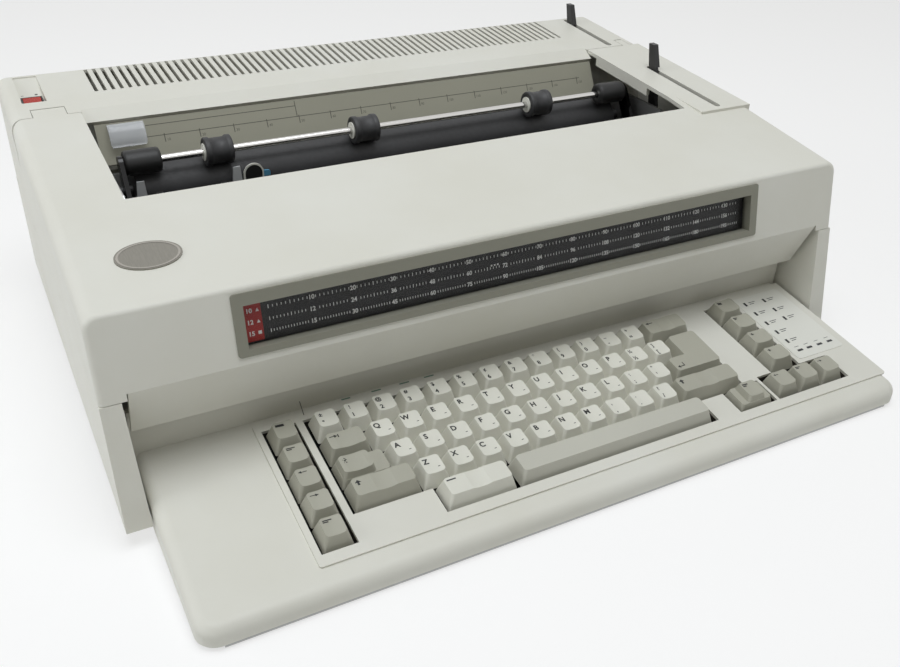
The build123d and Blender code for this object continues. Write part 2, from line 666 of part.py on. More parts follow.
# Rear cover: vent grille, switch well, slot for the release lever, lip over the paper table
lip_y = split_y + split_gap + lip_back
switch_x = -244.3
well_w = 16.5
well_front = 28.0     # ends of the switch well behind the seam
well_rear = 80.0
well_deep = 7.0
with BuildPart() as rear_cover:
    with BuildSketch(Plane.YZ):
        with BuildLine():
            Polyline((split_low_y + split_gap, belt_z + seam),
                     (split_y + split_gap, top_z(split_y) - split_step), (split_y + split_gap, top_z(split_y)),
                     (rear_y, rear_top_z), (rear_y, belt_z + seam), close=True)
        make_face()
    extrude(amount=side_x, both=True)
    fillet(edges().filter_by(lambda e: abs(abs(e.center().X) - side_x) < 0.01
                             and e.bounding_box().min.Z > top_z(split_y) - 1), edge_r)
    fillet(edges().filter_by(lambda e: e.length > body_w - 2 * edge_r - 2
                             and abs(e.center().Z - rear_top_z) < 1), corner_r)
    with BuildSketch(Plane.YZ):
        with BuildLine():
            Polyline((split_low_y - 5, belt_z - 5), (split_y - 5, top_z(split_y - 5) - wall),
                     (rear_y - wall, rear_top_z - wall), (rear_y - wall, belt_z - 5), close=True)
        make_face()
    extrude(amount=side_x - wall, both=True, mode=Mode.SUBTRACT)
    # lip that falls to the paper table, across the opening
    with BuildSketch(Plane.XY.offset(belt_z)):
        with Locations((open_mid, split_y)):
            Rectangle(open_w - 1, 2 * (lip_back + split_gap))
    extrude(amount=rear_top_z, mode=Mode.SUBTRACT)
    with BuildSketch(Plane.YZ.offset(open_left + 0.5)):
        with BuildLine():
            z0 = top_z(lip_y)
            Polyline((lip_y + 4, top_z(lip_y + 4)), (lip_y, z0),
                     (split_y - lip_reach, z0 - lip_drop), (split_y - lip_reach + 1.5, z0 - lip_drop - 2.5),
                     (lip_y + 4, z0 - wall), close=True)
        make_face()
    extrude(amount=open_w - 1)
    # vents
    with BuildSketch(Plane.XY.offset(belt_z + 20)):
        y0 = split_y + vent_front
        y1 = rear_y - vent_rear
        with Locations(*[(vent_x + i * vent_pitch, (y0 + y1) / 2) for i in range(vent_n)]):
            Rectangle(vent_w, y1 - y0)
    extrude(amount=rear_top_z, mode=Mode.SUBTRACT)
    # switch well with a sloping floor
    with BuildSketch(Plane.YZ.offset(switch_x - well_w / 2 - 1.5)):
        with BuildLine():
            Polyline((split_y + well_front - 1.5, top_z(split_y + well_front) - 1),
                     (split_y + well_rear, top_z(split_y + well_rear) - 1),
                     (split_y + well_rear, top_z(split_y + well_rear) - wall - 0.5),
                     (split_y + well_front - 1.5, top_z(split_y + well_front) - well_deep - 1.5), close=True)
        make_face()
    extrude(amount=well_w + 3)
    with BuildSketch(Plane.YZ.offset(switch_x - well_w / 2)):
        with BuildLine():
            Polyline((split_y + well_front, top_z(split_y + well_front) + 1),
                     (split_y + well_rear - 2, top_z(split_y + well_rear) + 1),
                     (split_y + well_rear - 2, top_z(split_y + well_rear) - 1),
                     (split_y + well_front, top_z(split_y + well_front) - well_deep), close=True)
        make_face()
    extrude(amount=well_w, mode=Mode.SUBTRACT)
    # slot for the release lever
    with BuildSketch(Plane.XY.offset(belt_z + 20)):
        with Locations((lever_x, foot_y + sum(release_slot) / 2)):
            SlotOverall(release_slot[1] - release_slot[0], slot_w, rotation=90)
    extrude(amount=rear_top_z, mode=Mode.SUBTRACT)
    # notches for the hinge tabs, lugs beside them, and the stub pins that the knuckles turn on
    for x0, x1 in hinge_tabs:
        with BuildSketch(Plane.XY.offset(belt_z + 20)):
            with Locations(((x0 + x1) / 2, split_y)):
                Rectangle(x1 - x0 + 2 * seam, 2 * (notch_rear - split_y))
        extrude(amount=rear_top_z, mode=Mode.SUBTRACT)
        for lug_x, pin_way in ((x0 - seam, 1), (x1 + seam, -1)):
            with BuildSketch(Plane.YZ.offset(lug_x)):
                with BuildLine():
                    y0 = split_y + split_gap
                    y1 = notch_rear + 3
                    Polyline((y0, top_z(y0) - 0.5), (y1, top_z(y1) - 0.5),
                             (y1, hinge_z - 4), (y0, hinge_z - 4), close=True)
                make_face()
            extrude(amount=-pin_way * wall)
            with BuildSketch(Plane.YZ.offset(lug_x - pin_way)):
                with Locations((hinge_y, hinge_z)):
                    Circle(hinge_r)
            extrude(amount=pin_way * (pin_in + 1 + seam))

# Switch under the well: housing and rocker
rocker_w, rocker_l = 12.0, 19.0
rocker_y = split_y + well_front + 10.5
rocker_tilt = 10.0
rocker_z = top_z(rocker_y) - well_deep + 1.0
rocker_pivot_z = rocker_z - 4.0
rocker_draw = 0.8     # how far the rocker's ends lean in at the top, so that they clear the well
switch_gap = 0.4
with BuildPart(mode=Mode.PRIVATE) as switch_hole:
    with Locations((switch_x, rocker_y, rocker_z)):
        Box(rocker_w + 2 * switch_gap + 2, rocker_l + 2 * switch_gap + 2, 14)
rear_cover.part = rear_cover.part - switch_hole.part
with BuildPart() as switch_housing:
    with Locations((switch_x, rocker_y, rocker_z - 5)):
        Box(rocker_w + 2 * switch_gap + 2, rocker_l + 2 * switch_gap + 2, 24,
            align=(Align.CENTER, Align.CENTER, Align.MAX))
    with Locations((switch_x, rocker_y, rocker_z + 2.5)):
        Box(rocker_w + 2 * switch_gap + 1.6, rocker_l + 2 * switch_gap + 1.6, 8,
            align=(Align.CENTER, Align.CENTER, Align.MAX))
    with Locations((switch_x, rocker_y, rocker_z + 3)):
        Box(rocker_w + 2 * switch_gap, rocker_l + 2 * switch_gap, 20,
            align=(Align.CENTER, Align.CENTER, Align.MAX), mode=Mode.SUBTRACT)
    with Locations((switch_x - 3, rocker_y, rocker_z - 29), (switch_x + 3, rocker_y, rocker_z - 29)):
        Box(0.8, 6.3, 9, align=(Align.CENTER, Align.CENTER, Align.MAX))
    with BuildSketch(Plane.YZ.offset(switch_x - rocker_w / 2 - switch_gap - 0.5)):
        with Locations((rocker_y, rocker_pivot_z)):
            Circle(1.5)
    extrude(amount=rocker_w + 2 * switch_gap + 1)
with BuildPart() as power_rocker:
    with BuildSketch(Plane.YZ.offset(switch_x - rocker_w / 2)):
        with BuildLine():
            half = rocker_l / 2
            rise = half * tan(radians(rocker_tilt))
            right = [(0, 1), (half - rocker_draw, 1 + rise), (half - 0.2, -1), (half - 1.2, -5), (4, -8)]
            outline = right + [(-y, z) for y, z in reversed(right[1:])]
            Polyline(*[(rocker_y + y, rocker_z + z) for y, z in outline], close=True)
        make_face()
        with Locations((rocker_y, rocker_pivot_z)):
            Circle(1.55, mode=Mode.SUBTRACT)
    extrude(amount=rocker_w)

# Side frames: two steel plates that carry the platen, bail, feed rolls and rails
frame_low = foot_h + wall
belt_pass = belt_y - pulley_r - 3, belt_y + pulley_r + 3
with BuildPart() as side_frames:
    for side in (-1, 1):
        with BuildSketch(Plane.YZ.offset(side * frame_x - frame_t / 2)):
            with BuildLine():
                Polyline((foot_y + 92, frame_low), (foot_y + 92, frame_low + 45), (foot_y + 112, 108),
                         (foot_y + 165, 138), (foot_y + 232, 138), (foot_y + 244, 124),
                         (foot_y + 318, 90), (foot_y + 318, frame_low), close=True)
            make_face()
            with Locations((platen_y, platen_z)):
                Circle(shaft_r + fit, mode=Mode.SUBTRACT)
            with Locations((bail_pivot_y, bail_pivot_z)):
                Circle(3.0 + fit, mode=Mode.SUBTRACT)
            with Locations((feed_pivot_y, feed_pivot_z)):
                Circle(3.0 + fit, mode=Mode.SUBTRACT)
            with Locations((rail_rear_y, rail_z), (rail_front_y, rail_z)):
                Circle(rail_r + 0.02, mode=Mode.SUBTRACT)
            with Locations((belt_y, belt_z0 + belt_h / 2)):
                Rectangle(belt_pass[1] - belt_pass[0], belt_h + 4, mode=Mode.SUBTRACT)
            with Locations((foot_y + 215, 52)):
                RectangleRounded(50, 44, 6, mode=Mode.SUBTRACT)
            if side > 0:
                with Locations(bail_lever_pivot, release_lever_pivot):
                    Circle(lever_pin_r + fit, mode=Mode.SUBTRACT)
        extrude(amount=frame_t)
    # feet of the plates, turned outwards
    for side in (-1, 1):
        with Locations((side * (frame_x + frame_t / 2), foot_y + 104, frame_low),
                       (side * (frame_x + frame_t / 2), foot_y + 250, frame_low)):
            Box(14, 20, 2.5, align=(Align.MIN if side > 0 else Align.MAX, Align.CENTER, Align.MIN))

with BuildPart() as carrier_rails:
    for y in (rail_rear_y, rail_front_y):
        with Locations((0, y, rail_z)):
            Cylinder(rail_r, 2 * (frame_x + frame_t / 2), rotation=(0, 90, 0))


def gear_face(teeth, module, turn=0.0):
    """Involute spur gear outline round the sketch's middle, without its bore."""
    pitch_r = teeth * module / 2
    base_r = pitch_r * cos(radians(pressure))
    root_r = pitch_r - 1.25 * module
    tip_r = pitch_r + module

    def roll(r):
        slope = acos(min(1.0, base_r / r))
        return tan(slope) - slope

    half = (pi * module / 2 - gear_play) / 2 / pitch_r + roll(pitch_r)
    flank_r = max(base_r, root_r)
    with BuildSketch() as face:
        Circle(root_r)
        with BuildSketch(mode=Mode.PRIVATE) as tooth:
            with BuildLine():
                points = [((root_r - 0.1) * cos(half), (root_r - 0.1) * sin(half))]
                for r in (flank_r, (flank_r + pitch_r) / 2, (pitch_r + tip_r) / 2, tip_r):
                    points.append((r * cos(half - roll(r)), r * sin(half - roll(r))))
                Polyline(*points, *[(x, -y) for x, y in reversed(points)], close=True)
            make_face()
        with PolarLocations(0, teeth, start_angle=turn):
            add(tooth.sketch)
    return face.sketch


# Platen with its shaft, its gear and the pinion that drives it
gear_x = -frame_x - frame_t / 2 - gear_in
with BuildPart() as platen:
    with Locations((0, platen_y, platen_z)):
        Cylinder(platen_r, 2 * platen_half, rotation=(0, 90, 0))
    fillet(edges().filter_by(GeomType.CIRCLE), 0.8)
    with BuildSketch(Plane.YZ.offset(gear_x - gear_w - 1)):
        with Locations((platen_y, platen_z)):
            Circle(shaft_r)
    extrude(amount=2 * frame_x + frame_t / 2 + gear_in + gear_w + 4)
motor_way = (0.768, -0.640)       # from the platen to its motor
motor_dist = (gear_teeth + pinion_teeth) * gear_module / 2 + gear_back
motor_y = platen_y + motor_way[0] * motor_dist
motor_z = platen_z + motor_way[1] * motor_dist
mesh_angle = degrees(atan2(motor_way[1], motor_way[0]))
with BuildPart() as platen_gear:
    with BuildSketch(Plane.YZ.offset(gear_x - gear_w)):
        with Locations((platen_y, platen_z)):
            add(gear_face(gear_teeth, gear_module, mesh_angle))
            Circle(shaft_r, mode=Mode.SUBTRACT)
    extrude(amount=gear_w)
    with BuildSketch(Plane.YZ.offset(gear_x)):
        with Locations((platen_y, platen_z)):
            Circle(10)
            Circle(shaft_r, mode=Mode.SUBTRACT)
    extrude(amount=gear_in - 0.3)
pinion_shaft_r = 2.0
with BuildPart() as platen_pinion:
    with BuildSketch(Plane.YZ.offset(gear_x - gear_w)):
        with Locations((motor_y, motor_z)):
            add(gear_face(pinion_teeth, gear_module, mesh_angle + 180 + 180 / pinion_teeth))
    extrude(amount=gear_w)
    with BuildSketch(Plane.YZ.offset(gear_x - gear_w - 3)):
        with Locations((motor_y, motor_z)):
            Circle(pinion_shaft_r)
    extrude(amount=3)
motor_r = 19.0
motor_face = gear_x - gear_w - 1.5
motor_back = -side_x + wall + 4
with BuildPart() as platen_motor:
    with BuildSketch(Plane.YZ.offset(motor_face)):
        with Locations((motor_y, motor_z)):
            Circle(motor_r)
    extrude(amount=motor_back - motor_face)
    with BuildSketch(Plane.YZ.offset(motor_face + 1)):
        with Locations((motor_y, motor_z)):
            Circle(pinion_shaft_r + fit)
    extrude(amount=-8, mode=Mode.SUBTRACT)
    with BuildSketch(Plane.YZ.offset(motor_face)):
        for turn in (-75, 75):
            a = radians(mesh_angle + turn)
            with Locations((motor_y + 15 * cos(a), motor_z + 15 * sin(a))):
                Circle(3.0)
    extrude(amount=-frame_x - frame_t / 2 - motor_face)

# Paper bail: rod on two arms, sleeves at its ends, and rollers with pale hubs
bail_way = Vector(0, bail_y - bail_pivot_y, bail_z - bail_pivot_z)
with BuildPart() as bail_frame:
    with Locations((0, bail_y, bail_z)):
        Cylinder(bail_r, 2 * (bail_arm_x - bail_arm_t / 2), rotation=(0, 90, 0))
    for side in (-1, 1):
        with BuildSketch(Plane.YZ.offset(side * bail_arm_x - bail_arm_t / 2)):
            with Locations(((bail_y + bail_pivot_y) / 2, (bail_z + bail_pivot_z) / 2)):
                SlotOverall(bail_way.length + 11, 11,
                            rotation=degrees(atan2(bail_way.Z, bail_way.Y)))
        extrude(amount=bail_arm_t)
        with BuildSketch(Plane.YZ.offset(side * bail_arm_x)):
            with Locations((bail_pivot_y, bail_pivot_z)):
                Circle(3.0)
        extrude(amount=side * (frame_x + frame_t / 2 - bail_arm_x))
with BuildPart() as bail_grips:
    for x0, x1 in ((-grip_out, -grip_in), (grip_in, grip_out)):
        with BuildSketch(Plane.YZ.offset(x0)):
            with Locations((bail_y, bail_z)):
                Circle(grip_r)
                Circle(bail_r, mode=Mode.SUBTRACT)
        extrude(amount=x1 - x0)
hub_r = 6.0
hub_out = 0.8
bail_play = 0.06
with BuildPart() as bail_rollers:
    for x in roller_x:
        with BuildSketch(Plane.YZ.offset(x - roller_w / 2)):
            with Locations((bail_y, bail_z)):
                Circle(roller_r)
                Circle(hub_r, mode=Mode.SUBTRACT)
        extrude(amount=roller_w)
with BuildPart() as bail_hubs:
    for x in roller_x:
        with BuildSketch(Plane.YZ.offset(x - roller_w / 2 - hub_out)):
            with Locations((bail_y, bail_z)):
                Circle(hub_r)
                Circle(bail_r + bail_play, mode=Mode.SUBTRACT)
        extrude(amount=roller_w + 2 * hub_out)

# Feed rolls under the platen on two arms with a cross shaft, and the paper chute round the platen
feed_shaft_r = 2.0
feed_pin_r = 3.0
with BuildPart() as feed_arms:
    with BuildSketch(Plane.YZ.offset(-frame_x - frame_t / 2)):
        with Locations((feed_pivot_y, feed_pivot_z)):
            Circle(feed_pin_r)
    extrude(amount=2 * frame_x + 18)
    feed_way = Vector(feed_y - feed_pivot_y, feed_z - feed_pivot_z)
    for x in (-feed_arm_x, 0, feed_arm_x):
        with BuildSketch(Plane.YZ.offset(x - 1.5)):
            with Locations(((feed_y + feed_pivot_y) / 2, (feed_z + feed_pivot_z) / 2)):
                SlotOverall(feed_way.length + 9, 9, rotation=degrees(atan2(feed_way.Y, feed_way.X)))
        extrude(amount=3)
    with BuildSketch(Plane.YZ.offset(-feed_arm_x)):
        with Locations((feed_y, feed_z)):
            Circle(feed_shaft_r)
    extrude(amount=2 * feed_arm_x)
    # crank towards the release lever
    with BuildSketch(Plane.YZ.offset(frame_x + 14)):
        with Locations((feed_pivot_y + 9, feed_pivot_z)):
            SlotOverall(28, 9)
    extrude(amount=2.5)
with BuildPart() as feed_rollers:
    for x in feed_x:
        with BuildSketch(Plane.YZ.offset(x - feed_w / 2)):
            with Locations((feed_y, feed_z)):
                Circle(feed_r)
                Circle(feed_shaft_r + 0.06, mode=Mode.SUBTRACT)
        extrude(amount=feed_w)
chute_r = platen_r + chute_gap
chute_half = frame_x - frame_t / 2
with BuildPart() as paper_chute:
    with BuildSketch(Plane.YZ.offset(-chute_half)):
        with BuildLine():
            inner = CenterArc((platen_y, platen_z), chute_r, -150, 165)
            outer = CenterArc((platen_y, platen_z), chute_r + chute_t, -150, 165)
            Line(inner @ 0, outer @ 0)
            Line(inner @ 1, outer @ 1)
        make_face()
    extrude(amount=2 * chute_half)
    with BuildSketch(Plane.XY.offset(feed_z - 12)):
        with Locations(*[(x, feed_y - 1) for x in feed_x]):
            Rectangle(feed_w + 2, 2 * feed_r + 7)
    extrude(amount=24, mode=Mode.SUBTRACT)

# Paper table, the steep plate behind the platen
table_way = Vector(table_top[0] - table_foot[0], table_top[1] - table_foot[1]).normalized()
with BuildPart() as paper_table:
    with BuildSketch(Plane.YZ.offset(open_left + 6)):
        with BuildLine():
            y0, y1 = foot_y + table_foot[0], foot_y + table_top[0]
            Polyline((y0, table_foot[1]), (y1, table_top[1]),
                     (y1 + table_way.Y * table_t, table_top[1] - table_way.X * table_t),
                     (y0 + table_way.Y * table_t + 1.5, table_foot[1] - table_way.X * table_t - 1), close=True)
        make_face()
    extrude(amount=open_w - 8)
    # ribs behind it, on a bar between the side frames
    bar_y = foot_y + 257
    bar_z = 112.0
    for x in (-150, 0, 150):
        with BuildSketch(Plane.YZ.offset(x - 1.5)):
            with BuildLine():
                Polyline((y0 + table_t + 1, table_foot[1] - 1), (y0 + table_t + 7, table_foot[1] + 9),
                         (bar_y + 3, table_foot[1] + 9), (bar_y + 3, bar_z), (bar_y - 3, bar_z), close=True)
            make_face()
        extrude(amount=3)
    with Locations((0, bar_y, bar_z)):
        Box(2 * chute_half, 6, 6, align=(Align.CENTER, Align.CENTER, Align.MIN))

# Carrier: floor on two rail bearings, side arms up to the card guide, clamp on the belt
bearing_r = 10.0
carrier_half = 36.0
arm_in = 38.0
arm_out = 40.5
deck_y0 = foot_y + 102.0
deck_y1 = foot_y + 186.0
with BuildPart() as carrier:
    with Locations((carrier_x, (deck_y0 + deck_y1) / 2, floor_z)):
        Box(2 * arm_out, deck_y1 - deck_y0, floor_t, align=(Align.CENTER, Align.CENTER, Align.MIN))
    for y in (rail_rear_y, rail_front_y):
        with BuildSketch(Plane.YZ.offset(carrier_x - carrier_half)):
            with Locations((y, rail_z)):
                Circle(bearing_r)
            with Locations((y, rail_z)):
                Rectangle(2 * bearing_r, floor_z - rail_z + 1, align=(Align.CENTER, Align.MIN))
            with Locations((y, rail_z)):
                Circle(rail_r + rail_fit, mode=Mode.SUBTRACT)
        extrude(amount=2 * carrier_half)
    for side in (-1, 1):
        with BuildSketch(Plane.YZ.offset(carrier_x + (arm_in if side > 0 else -arm_out))):
            with BuildLine():
                Polyline((deck_y0, floor_z), (deck_y0, floor_z + 14), (foot_y + 158, floor_z + 20),
                         (foot_y + 160, 104), (foot_y + 201, 104), (foot_y + 201, 80), (deck_y1, floor_z),
                         close=True)
            make_face()
        extrude(amount=arm_out - arm_in)
    # post for the motor of the print wheel
    with Locations((carrier_x, foot_y + 160, floor_z)):
        Box(30, 5, 10, align=(Align.CENTER, Align.CENTER, Align.MIN))
    # clamp that grips the front run of the belt
    with Locations((carrier_x, belt_y - pulley_r - belt_t / 2, floor_z)):
        Box(20, 5.5, floor_z - belt_z0 - belt_h + 2, align=(Align.CENTER, Align.CENTER, Align.MAX))
    with Locations((carrier_x, belt_y - pulley_r - belt_t / 2, belt_z0 + belt_h + 0.3)):
        Box(22, belt_t + 0.6, belt_h, align=(Align.CENTER, Align.CENTER, Align.MAX), mode=Mode.SUBTRACT)

# Clear card guide across the front of the platen, with two prongs
prong_x = 33.0
card_y = foot_y + 199.0
with BuildPart() as card_guide:
    with BuildSketch(Plane.XZ.offset(-card_y)):
        with Locations((carrier_x, 97)):
            Rectangle(2 * arm_in, 22)
        for side in (-1, 1):
            with BuildLine():
                x = carrier_x + side * prong_x
                Polyline((x - 5, 100), (x + 5, 100), (x + 2.5, 131), (x - 2.5, 131), close=True)
            make_face()
        with Locations((carrier_x, 112)):
            Rectangle(24, 36, mode=Mode.SUBTRACT)
    extrude(amount=-1.5)

# Ribbon cassette on top of the carrier, and the spool of lift-off tape at its right
cassette_low = 108.0
cassette_h = 15.0
spool_x = carrier_x + 47.5
spool_z = 119.0
with BuildPart() as ribbon_cassette:
    with BuildSketch(Plane.XY.offset(cassette_low)):
        with BuildLine():
            Polyline((carrier_x - 37, foot_y + 112), (carrier_x + 36, foot_y + 112),
                     (carrier_x + 36, foot_y + 168), (carrier_x + 26, foot_y + 182),
                     (carrier_x + 24, foot_y + 197), (carrier_x + 20, foot_y + 197),
                     (carrier_x + 19, foot_y + 178), (carrier_x + 11, foot_y + 178),
                     (carrier_x + 11, foot_y + 156), (carrier_x - 11, foot_y + 156),
                     (carrier_x - 11, foot_y + 178), (carrier_x - 19, foot_y + 178),
                     (carrier_x - 20, foot_y + 197), (carrier_x - 24, foot_y + 197),
                     (carrier_x - 26, foot_y + 182), (carrier_x - 37, foot_y + 168), close=True)
        make_face()
    extrude(amount=cassette_h)
    fillet(edges().filter_by(Axis.Z).group_by(Axis.Y)[0], 5)
    with BuildSketch(Plane.XY.offset(cassette_low)):
        with Locations((carrier_x, foot_y + 190)):
            Rectangle(60, 24)
    extrude(amount=5, mode=Mode.SUBTRACT)
    # legs down to the carrier's side arms
    for side in (-1, 1):
        with Locations((carrier_x + side * (arm_in + 1.25), foot_y + 166, 104)):
            Box(2.5, 8, cassette_low + 4 - 104, align=(Align.CENTER, Align.CENTER, Align.MIN))
        with Locations((carrier_x + side * (arm_in - 1.25), foot_y + 166, cassette_low)):
            Box(5, 8, 4, align=(Align.CENTER, Align.CENTER, Align.MIN))
    # spindle for the tape
    with BuildSketch(Plane.XZ.offset(-foot_y - 172)):
        with Locations((spool_x, spool_z)):
            Circle(2.0)
    extrude(amount=-17)
    with Locations((carrier_x + 42.5, foot_y + 170, spool_z - 3)):
        Box(14, 4, 6)
spool_r = 8.0
with BuildPart() as tape_spool:
    with BuildSketch(Plane.XZ.offset(-foot_y - 173)):
        with Locations((spool_x, spool_z)):
            Circle(spool_r)
            Circle(2.06, mode=Mode.SUBTRACT)
    extrude(amount=-12)

# Print wheel with its petals, its motor and the hammer behind it
wheel_motor_r = 17.0
hammer_z = 115.2
with BuildPart() as wheel_motor:
    with BuildSketch(Plane.XZ.offset(-foot_y - 158)):
        with Locations((carrier_x, wheel_z)):
            Circle(wheel_motor_r)
        with Locations((carrier_x, floor_z + 10)):
            Rectangle(30, 10.5, align=(Align.CENTER, Align.MIN))
    extrude(amount=-28)
    with BuildSketch(Plane.XZ.offset(-foot_y - 160)):
        with Locations((carrier_x, wheel_z + 16)):
            Rectangle(16, 26, align=(Align.CENTER, Align.MIN))
        with Locations((carrier_x, hammer_z)):
            Circle(2.5 + 0.1, mode=Mode.SUBTRACT)
    extrude(amount=-20)
    with BuildSketch(Plane.XZ.offset(-foot_y - 180)):
        with Locations((carrier_x, wheel_z)):
            Circle(2.0 + fit, mode=Mode.ADD)
    extrude(amount=-7, mode=Mode.SUBTRACT)
with BuildPart() as print_wheel:
    with BuildSketch(Plane.XZ.offset(-wheel_y)):
        with Locations((carrier_x, wheel_z)):
            Circle(15)
            with PolarLocations(0, petal_n):
                with Locations((wheel_r / 2 + 3.5, 0)):
                    Rectangle(wheel_r - 7, 1.1)
            with PolarLocations(wheel_r - 3, petal_n):
                Rectangle(5, 3.0)
    extrude(amount=-1.2)
    with BuildSketch(Plane.XZ.offset(-wheel_y)):
        with Locations((carrier_x, wheel_z)):
            Circle(8)
    extrude(amount=4)
    with BuildSketch(Plane.XZ.offset(-foot_y - 182)):
        with Locations((carrier_x, wheel_z)):
            Circle(2.0)
    extrude(amount=-8)
with BuildPart() as hammer:
    with BuildSketch(Plane.XZ.offset(-foot_y - 161)):
        with Locations((carrier_x, hammer_z)):
            Circle(2.5)
    extrude(amount=-26)

# Belt, its two pulleys, and the motor of the carrier
with BuildPart() as belt:
    with BuildSketch(Plane.XY.offset(belt_z0)):
        with Locations(((pulley_left + pulley_right) / 2, belt_y)):
            SlotCenterToCenter(pulley_right - pulley_left, 2 * (pulley_r + belt_t))
            SlotCenterToCenter(pulley_right - pulley_left, 2 * pulley_r + 0.1, mode=Mode.SUBTRACT)
    extrude(amount=belt_h)
pulley_pin_r = 2.5
motor_shaft_r = 2.5
with BuildPart() as drive_pulley:
    with BuildSketch(Plane.XY.offset(belt_z0 - 1.5)):
        with Locations((pulley_left, belt_y)):
            Circle(pulley_r - 0.2)
    extrude(amount=belt_h + 3)
    with BuildSketch(Plane.XY.offset(belt_z0 + belt_h + 1.5)):
        with Locations((pulley_left, belt_y)):
            Circle(motor_shaft_r)
    extrude(amount=9)
with BuildPart() as idler_pulley:
    with BuildSketch(Plane.XY.offset(belt_z0 - 1.5)):
        with Locations((pulley_right, belt_y)):
            Circle(pulley_r - 0.2)
            Circle(pulley_pin_r + 0.06, mode=Mode.SUBTRACT)
    extrude(amount=belt_h + 3)
carrier_motor_r = 19.0
with BuildPart() as carrier_motor:
    with BuildSketch(Plane.XY.offset(belt_z0 + belt_h + 4)):
        with Locations((pulley_left, belt_y)):
            Circle(carrier_motor_r)
    extrude(amount=40)
    with BuildSketch(Plane.XY.offset(belt_z0 + belt_h + 4)):
        with Locations((pulley_left, belt_y)):
            Circle(motor_shaft_r + fit)
    extrude(amount=8, mode=Mode.SUBTRACT)
    with BuildSketch(Plane.XY.offset(frame_low)):
        with Locations((pulley_left, belt_y)):
            with GridLocations(27, 27, 2, 2):
                Circle(2.5)
    extrude(amount=belt_z0 + belt_h + 4 - frame_low)
with BuildPart(mode=Mode.PRIVATE) as idler_boss:
    with BuildSketch(Plane.XY.offset(foot_h + 1)):
        with Locations((pulley_right, belt_y)):
            Circle(7)
    extrude(amount=belt_z0 - 1.8 - foot_h - 1)
    with BuildSketch(Plane.XY.offset(foot_h + 1)):
        with Locations((pulley_right, belt_y)):
            Circle(pulley_pin_r)
    extrude(amount=belt_z0 + belt_h + 3 - foot_h)
lower_case.part = lower_case.part + idler_boss.part


# Levers: bail lever in front, paper release lever at the rear
lever_t = 3.0
paddle_t = 4.6
with BuildPart() as bail_lever:
    with BuildSketch(Plane.YZ.offset(lever_x - lever_t / 2)):
        with BuildLine():
            y, z = bail_lever_pivot
            Polyline((y - 6, z - 6), (y + 6, z - 6), (foot_y + 210, 158), (foot_y + 213, 175),
                     (foot_y + 207, 176), (foot_y + 201, 158), close=True)
        make_face()
    extrude(amount=lever_t)
    with BuildSketch(Plane.YZ.offset(lever_x - paddle_t / 2)):
        with BuildLine():
            Polyline((foot_y + 200.5, 160), (foot_y + 209.5, 160), (foot_y + 213, 177.5),
                     (foot_y + 206.5, 177.5), close=True)
        make_face()
    extrude(amount=paddle_t)
    with BuildSketch(Plane.YZ.offset(frame_x + frame_t / 2 + 0.3)):
        with Locations(bail_lever_pivot):
            Circle(7)
    extrude(amount=lever_x - frame_x - frame_t / 2 - 0.3)
    with BuildSketch(Plane.YZ.offset(frame_x - frame_t / 2)):
        with Locations(bail_lever_pivot):
            Circle(lever_pin_r)
    extrude(amount=12)
with BuildPart() as release_lever:
    with BuildSketch(Plane.YZ.offset(lever_x - lever_t / 2)):
        with BuildLine():
            y, z = release_lever_pivot
            Polyline((y - 7, z - 6), (y + 7, z - 6), (foot_y + 335, 164), (foot_y + 338, 180),
                     (foot_y + 332, 181), (foot_y + 326, 164), close=True)
        make_face()
    extrude(amount=lever_t)
    with BuildSketch(Plane.YZ.offset(lever_x - paddle_t / 2)):
        with BuildLine():
            Polyline((foot_y + 325.5, 165.5), (foot_y + 334.5, 165.5), (foot_y + 338.5, 182),
                     (foot_y + 332, 182), close=True)
        make_face()
    extrude(amount=paddle_t)
    with BuildSketch(Plane.YZ.offset(frame_x + frame_t / 2 + 0.3)):
        with Locations(release_lever_pivot):
            Circle(7)
    extrude(amount=lever_x - frame_x - frame_t / 2 - 0.3)
    with BuildSketch(Plane.YZ.offset(frame_x - frame_t / 2)):
        with Locations(release_lever_pivot):
            Circle(lever_pin_r)
    extrude(amount=12)

# Power supply, logic board on its posts, and the mains inlet
with BuildPart() as power_supply:
    with Locations((130, foot_y + 307, frame_low)):
        Box(140, 70, 56, align=(Align.CENTER, Align.CENTER, Align.MIN))
    fillet(edges().filter_by(Axis.Z), 3)
    with BuildSketch(Plane.XY.offset(frame_low + 56 - 8)):
        with Locations((130, foot_y + 307)):
            with GridLocations(8, 1, 14, 1):
                SlotOverall(44, 3.5, rotation=90)
    extrude(amount=10, mode=Mode.SUBTRACT)
board_z = 26.0
with BuildPart() as logic_board:
    with Locations((-62, foot_y + 316, board_z)):
        Box(200, 54, 1.6, align=(Align.CENTER, Align.CENTER, Align.MIN))
    with BuildSketch(Plane.XY.offset(frame_low)):
        with Locations((-62, foot_y + 316)):
            with GridLocations(188, 44, 2, 2):
                Circle(3)
    extrude(amount=board_z - frame_low)
    with Locations((-120, foot_y + 316, board_z + 1.6), (-70, foot_y + 316, board_z + 1.6)):
        Box(36, 14, 4, align=(Align.CENTER, Align.CENTER, Align.MIN))
    with Locations((0, foot_y + 304, board_z + 1.6), (0, foot_y + 326, board_z + 1.6)):
        Cylinder(7, 20, align=(Align.CENTER, Align.CENTER, Align.MIN))
